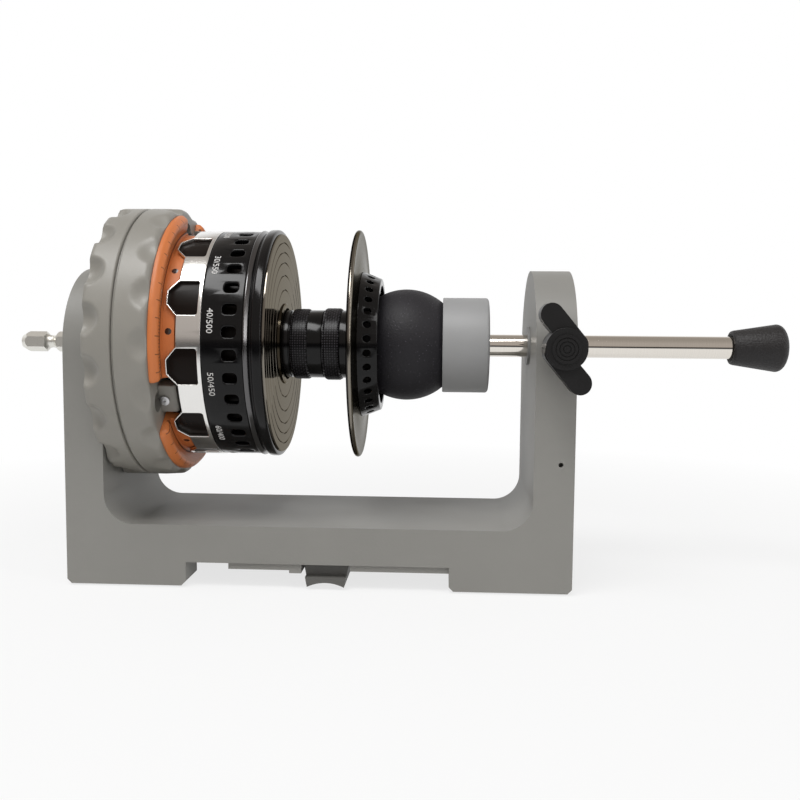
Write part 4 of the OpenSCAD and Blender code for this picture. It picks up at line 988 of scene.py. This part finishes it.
class WINDER_OT_rims(bpy.types.Operator):
    """Rim, bright grooved face, stepped arbor, far flange and its perforated cup"""
    bl_idname = "winder.rims"
    bl_label = "Rims and arbor"

    def execute(self, context):
        self.rim()
        self.face()
        self.arbor()
        self.flange()
        self.cup(context.scene.winder_spool)
        return {"FINISHED"}

    def rim(self):
        """Bright bead beside the band, and the rounded rim of the spool's body"""
        x0, x1, r = extent("spool_rim")
        back, deep = x0 - BEAD_REACH, r - 2 * MM
        bead = [(0, -1.6), (0.1, -0.4), (0.3, -0.3), (0.5, -0.34), (1.55, -1.16), (1.7, -1.5)]
        ring = lathe([(back, deep)] + from_here(back, r, bead) + [(x0 + MM, deep)], 160)
        place("rim_bead", ring, "spindle", "dark_steel", angle=25)
        profile = from_here(x0, r, [(0.5, -1.6), (1.5, -1.2), (1.7, -0.5), (2.1, -0.12), (2.7, 0)])
        wall_x = x0 + 2.4 * MM
        profile += [(x1, r), (x1, SPOOL_BORE_R), (wall_x, SPOOL_BORE_R), (wall_x, r - 1.6 * MM)]
        bm = lathe(profile, 160)
        soften(bm, 1.0 * MM, 5, 40, outermost(r))
        place("rim", bm, "spindle", "band_anodised", ["spool_rim"])

    def face(self):
        """Polished disc with a boss at its middle and round grooves"""
        x0, r = high("spool_rim").x, radius("spool_rim") - 1.4 * MM
        boss_r = 14.5 * MM
        x1, boss_h, bore_r = x0 + 0.7 * MM, 0.8 * MM, radius("spool_arbor")
        profile = [(x0, bore_r), (x1 + boss_h, bore_r)]
        profile += from_here(x1 + boss_h, boss_r, [(0, -0.4), (-0.4, 0)]) + [(x1, boss_r)]
        for share in (0.494, 0.625, 0.74, 0.833, 0.92):
            profile += from_here(x1, r * share, [(0, -0.26), (-0.35, -0.1), (-0.35, 0.1), (0, 0.26)])
        profile += from_here(x1, r, [(0, -0.3), (-0.3, 0)]) + [(x0, r)]
        place("face", lathe(profile, 192), "spindle", "face_metal", ["spool_face"], 25)

    def cup(self, given):
        """Perforated ring that stands on the far flange and narrows towards the tail"""
        x0, x1, r0 = extent("flange_cup")
        r1, reach = 23.4 * MM, x1 - x0
        pitch = FULL * r0 / given.cup_holes
        hole = circle((3.3 * MM, pitch / 2), 1.25 * MM, 20)
        bm = wrapped(x0, reach, r0, r1, 2.4 * MM, given.cup_holes, panel(reach, pitch), [hole], 0.3 * MM, 6)
        place("cup", bm, "spindle", "band_anodised", ["flange_cup"])

    def arbor(self):
        """Stepped arbor: collars and two diamond knurled bands"""
        x0, x1, r = extent("spool_arbor")
        total = x1 - x0
        bore, small, mid, deep = r - 3.8 * MM, r - 1.3 * MM, r - 0.7 * MM, r - 1.5 * MM
        collars = [(0, 0.13, mid), (0.38, 0.56, mid), (0.82, 0.95, mid), (0.96, 1, small)]
        profile = [(x0, bore), (x0, small)]
        for start, end, out in collars:
            profile += [(x0 + total * start, out), (x0 + total * end, out)]
            if end < 1:
                profile += [(x0 + total * end, deep), (x0 + total * (end + 0.01), deep)]
        bm = lathe(profile + [(x1, bore)], 112)
        soften(bm, 0.12 * MM, 2, 60)
        place("arbor", bm, "spindle", "band_anodised", ["spool_arbor"])
        for label, start, end, drop in (("knurl_a", 0.16, 0.38, 0.35 * MM), ("knurl_b", 0.58, 0.80, 0.05 * MM)):
            self.knurl(label, x0 + total * start, x0 + total * end, r - drop)

    def knurl(self, label, x0, x1, r):
        """A sleeve whose points stand up and sink in turn, as a diamond knurl"""
        rows, count, sunk, height = 8, 88, 0.3 * MM, 0.42 * MM
        points = [(x0 + (x1 - x0) * k / rows, r - sunk) for k in range(rows + 1)]
        bm = lathe([(x0, r - 0.8 * MM)] + points + [(x1, r - 0.8 * MM)], count)
        for v in bm.verts:
            away, angle = polar(v)
            row, column = round((v.co.x - x0) / (x1 - x0) * rows), round(angle / (FULL / count))
            if away > r - 0.5 * MM and (row + column) % 2 == 0 and 0 < row < rows:
                set_distance(v, away, away + height)
        sleeve = place(label, bm, "spindle", "band_anodised", angle=20)
        sleeve.data.materials[0] = knurled_metal_painted_glints()

    def flange(self):
        """Thin disc with a round lip, and a shallow dish where the cup stands"""
        x0, x1, r = extent("front_flange")
        lip, dish_x, dish_r = 0.9 * MM, x1 - 1.05 * MM, 14 * MM
        profile = [(x0, SPOOL_BORE_R)] + from_here(x0, r, [(0, -3), (0.3, -2.4), (0.3, -1.6)])
        profile += arc(x0 + lip, r - lip, lip, -math.pi / 2, math.pi / 2, 12)
        profile += from_here(x1, r, [(-0.35, -1.7), (-0.5, -4)]) + [(x1 - 0.2 * MM, 30 * MM), (x1, 26.8 * MM)]
        profile += [(x1, dish_r), (dish_x, dish_r), (dish_x, SPOOL_BORE_R)]
        place("flange", lathe(profile, 192), "spindle", "flange_metal", ["front_flange"], 30)


class WINDER_OT_tail(bpy.types.Operator):
    """Soft ball, bearing housing, plated rod and its rubber cap"""
    bl_idname = "winder.tail"
    bl_label = "Tail support"

    def execute(self, context):
        self.ball(context.scene.winder_tail)
        self.housing()
        self.cap()
        return {"FINISHED"}

    def ball(self, given):
        """Foam ball with a flat front and a well at its back for the bearing's screw"""
        x0, x1, r = extent("tail_ball")
        middle = x0 + given.ball_back
        well_r, well_x = 7.5 * MM, x1 - 6 * MM
        skin = arc(middle, 0, r, math.asin((x0 - middle) / r), math.asin((x1 - middle) / r), 40)
        bm = lathe([(x0, 0)] + skin + [(x1, well_r), (well_x, well_r), (well_x, 0)], 128, closed=False)
        soften(bm, 1.2 * MM, 4, 30, before(x0))
        place("ball", bm, "tail_cone", "ball_rubber", ["tail_ball"])

    def housing(self):
        """Cup of the tail's bearings, with a soft edge towards the pillar"""
        x0, x1, r = extent("tail_housing")
        inner, hole_r, floor_x = 11 * MM, 6.6 * MM, x1 - 1.2 * MM
        bm = lathe([(x0, inner), (x0, r), (x1, r), (x1, hole_r), (floor_x, hole_r), (floor_x, inner)], 128)
        soften(bm, 1.1 * MM, 5, 40, lambda e: beyond(x1)(e) and outermost(r)(e))
        soften(bm, 0.3 * MM, 2, 40, before(x0))
        place("housing", bm, "tail_cone", "housing_plastic", ["tail_housing"])

    def cap(self):
        """Tapered cap with a domed end and a shallow mouth round the rod"""
        x0, x1, r = extent("rod_cap")
        rod_r, small, dome, lip = 4.05 * MM, 6.1 * MM, 3.4 * MM, 0.9 * MM
        sweep = [(x1 - dome + dome * math.sin(a), r * math.cos(a) ** 0.6)
                 for a in (math.pi / 2 * k / 12 for k in range(1, 12))]
        profile = from_here(x0, rod_r, [(1.2, 0), (0, 1)]) + [(x0, small - lip)]
        profile += [(x0 + 0.3 * lip, small - 0.3 * lip), (x0 + lip, small), (x1 - dome, r)]
        bm = lathe(profile + sweep + [(x1, 0)], 96, closed=False)
        place("cap", bm, "tail_rod_body", "cap_rubber", ["rod_cap"], 45)


class WINDER_OT_knob(bpy.types.Operator):
    """Clamp knob with two wings and a ringed cap, a little slimmer than its solid"""
    bl_idname = "winder.knob"
    bl_label = "Clamp knob"

    def execute(self, context):
        bm = merged_copy("clamp_knob")
        hub_r, hub_share, wing_share = 8 * MM, 0.9, 0.94
        for v in bm.verts:
            away = math.hypot(v.co.x - KNOB_X, v.co.z - AXIS)
            share = hub_share + (wing_share - hub_share) * max(0, min(1, away / hub_r - 1))
            v.co.x = KNOB_X + (v.co.x - KNOB_X) * share
            v.co.z = AXIS + (v.co.z - AXIS) * share
        front_y = low("clamp_knob").y + 9.2 * MM
        soften(bm, 0.6 * MM, 3, 50, lambda e: all(v.co.y < front_y for v in e.verts))
        even_normals(place("knob", bm, "knob", "knob_plastic", ["clamp_knob"]))
        return {"FINISHED"}


class WINDER_OT_finishes(bpy.types.Operator):
    """Finishes of the pieces that keep their own shape"""
    bl_idname = "winder.finishes"
    bl_label = "Finishes"

    def execute(self, context):
        slots = {part["node"]: part["material_slot"] for part in frame["record"]["subparts"]}
        for node, obj in frame["nodes"].items():
            for slot in obj.material_slots:
                slot.material = FINISHES[slots[node]]()
        return {"FINISHED"}


class WINDER_OT_stage(bpy.types.Operator):
    """Camera, pale floor and soft lights"""
    bl_idname = "winder.stage"
    bl_label = "Stage"

    def execute(self, context):
        given = context.scene.winder_stage
        self.camera(context.scene)
        self.floor(given.floor_color)
        self.sky(context.scene, given.sky)
        self.lamp("key", (-0.25, -0.50, 1.10), (0.9, 0.45), given.key)
        self.lamp("side", (1.05, -0.62, 0.62), (0.17, 1.05), given.side)
        self.lamp("front", (0.3, -0.85, 0.47), (0.9, 0.9), given.front).visible_glossy = False
        context.scene.view_settings.view_transform = "Standard"
        return {"FINISHED"}

    def camera(self, scene):
        """The photograph's viewpoint, solved from its circles and edges"""
        yaw, pitch, roll = math.radians(2.87), math.radians(4.71), math.radians(0.49)
        eye = Vector((17.55, -322.77, 89.13)) * MM
        ahead = Vector((-math.sin(yaw) * math.cos(pitch), math.cos(yaw) * math.cos(pitch), -math.sin(pitch)))
        side = Vector((math.cos(yaw), math.sin(yaw), 0))
        up = side.cross(ahead)
        right = math.cos(roll) * side + math.sin(roll) * up
        above = -math.sin(roll) * side + math.cos(roll) * up
        data = bpy.data.cameras.new("camera")
        data.sensor_width, data.lens = 36, 40.28
        data.clip_start, data.clip_end = 0.01, 50
        cam = new_object("camera", data)
        cam.matrix_world = Matrix.Translation(eye) @ Matrix((right, above, -ahead)).transposed().to_4x4()
        scene.camera = cam

    def floor(self, color):
        """Pale floor that keeps the shadow, and fades to the white of the background"""
        bm = bmesh.new()
        bmesh.ops.create_circle(bm, cap_ends=True, segments=96, radius=9)
        mesh = bpy.data.meshes.new("floor")
        bm.to_mesh(mesh)
        bm.free()
        mat, tree, shader = material("Floor", roughness=0.7, specular_ior_level=0.1)
        shader.inputs["Base Color"].default_value = rgba(color)
        coords = add(tree, "TexCoord").outputs["Object"]
        away = add(tree, "VectorMath", {0: coords}, operation="LENGTH").outputs["Value"]
        share = maths(tree, "MULTIPLY", shown_rays(tree), ramp(tree, away, (0.16, 0.36), (0.75, 1)))
        front = add(tree, "SeparateXYZ", {0: coords}).outputs[1]
        gloss = add(tree, "LightPath").outputs["Is Glossy Ray"]
        seen = mix(tree, gloss, WHITE, ramp(tree, front, (-0.55, -0.25), (0.04, 0.9)))
        glow = add(tree, "Emission", {"Color": seen, "Strength": 1})
        part = add(tree, "MixShader", {0: share, 1: shader.outputs[0], 2: glow.outputs[0]})
        tree.links.new(part.outputs[0], tree.nodes["Material Output"].inputs["Surface"])
        mesh.materials.append(mat)
        new_object("floor", mesh)

    def sky(self, scene, strength):
        """Even soft light; metal sees a warm room in front and a white sheet behind"""
        world = bpy.data.worlds.new("studio")
        scene.world = world
        world.use_nodes = True
        tree = world.node_tree
        tree.nodes.clear()
        path = add(tree, "LightPath").outputs
        way = add(tree, "SeparateXYZ", {0: add(tree, "TexCoord").outputs["Generated"]}).outputs
        room = add(tree, "ValToRGB", {0: way[2]})
        stops = ((0.0, (0.06, 0.05, 0.05)), (0.045, (0.08, 0.07, 0.06)), (0.08, (0.45, 0.41, 0.38)),
                 (0.6, (0.45, 0.41, 0.38)), (1.0, (0.34, 0.31, 0.28)))
        room.color_ramp.elements.remove(room.color_ramp.elements[1])
        for k, (at, color) in enumerate(stops):
            stop = room.color_ramp.elements[0] if k == 0 else room.color_ramp.elements.new(at)
            stop.position, stop.color = at, rgba(color)
        sheet = maths(tree, "MULTIPLY", ramp(tree, way[1], (-0.1, 0.15)), ramp(tree, way[2], (0.75, 0.5)))
        seen = mix(tree, sheet, room.outputs[0], WHITE)
        soft, metal, white = (add(tree, "Background", {"Color": color, "Strength": power}).outputs[0]
                              for color, power in ((WHITE, strength), (seen, 1), (WHITE, 1)))
        shiny = add(tree, "MixShader", {0: path["Is Glossy Ray"], 1: soft, 2: metal})
        shown = maths(tree, "MAXIMUM", path["Is Camera Ray"], path["Is Transmission Ray"])
        both = add(tree, "MixShader", {0: shown, 1: shiny.outputs[0], 2: white})
        out = tree.nodes.new("ShaderNodeOutputWorld")
        tree.links.new(both.outputs[0], out.inputs[0])

    def lamp(self, name, spot, size, share):
        """A lamp whose share of full light on a face that looks at it is given"""
        data = bpy.data.lights.new(name, "AREA")
        data.shape = "RECTANGLE" if size[0] != size[1] else "DISK"
        data.size, data.size_y = size
        aim = Vector((0, 0, 0.07)) - Vector(spot)
        data.energy = share * math.pi ** 2 * aim.length_squared
        lamp = new_object(name, data)
        lamp.matrix_world = Matrix.Translation(spot) @ aim.to_track_quat("-Z", "Y").to_matrix().to_4x4()
        return lamp


STEPS = [WINDER_OT_finishes, WINDER_OT_cradle, WINDER_OT_grip_ring, WINDER_OT_chuck_body, WINDER_OT_jaws,
         WINDER_OT_skirt, WINDER_OT_band, WINDER_OT_rims, WINDER_OT_tail, WINDER_OT_knob, WINDER_OT_stage]
GROUPS = {"winder_frame": WinderFrame, "winder_chuck": WinderChuck, "winder_spool": WinderSpool,
          "winder_tail": WinderTail, "winder_stage": WinderStage}


class WINDER_PT_panel(bpy.types.Panel):
    """Lists the settings and the steps of the winder"""
    bl_idname = "WINDER_PT_panel"
    bl_label = "Line winder"
    bl_space_type = "VIEW_3D"
    bl_region_type = "UI"
    bl_category = "Winder"

    def draw(self, context):
        for key, group in GROUPS.items():
            box = self.layout.box()
            for name in group.__annotations__:
                box.prop(getattr(context.scene, key), name)
        for step in STEPS:
            self.layout.operator(step.bl_idname)


def register():
    for cls in (*GROUPS.values(), *STEPS, WINDER_PT_panel):
        bpy.utils.register_class(cls)
    for key, group in GROUPS.items():
        setattr(bpy.types.Scene, key, bpy.props.PointerProperty(type=group))


def unregister():
    for key in GROUPS:
        delattr(bpy.types.Scene, key)
    for cls in reversed((*GROUPS.values(), *STEPS, WINDER_PT_panel)):
        bpy.utils.unregister_class(cls)


def main():
    register()
    for step in STEPS:
        getattr(bpy.ops.winder, step.bl_idname.split(".")[1])()


if __name__ == "__main__":
    main()
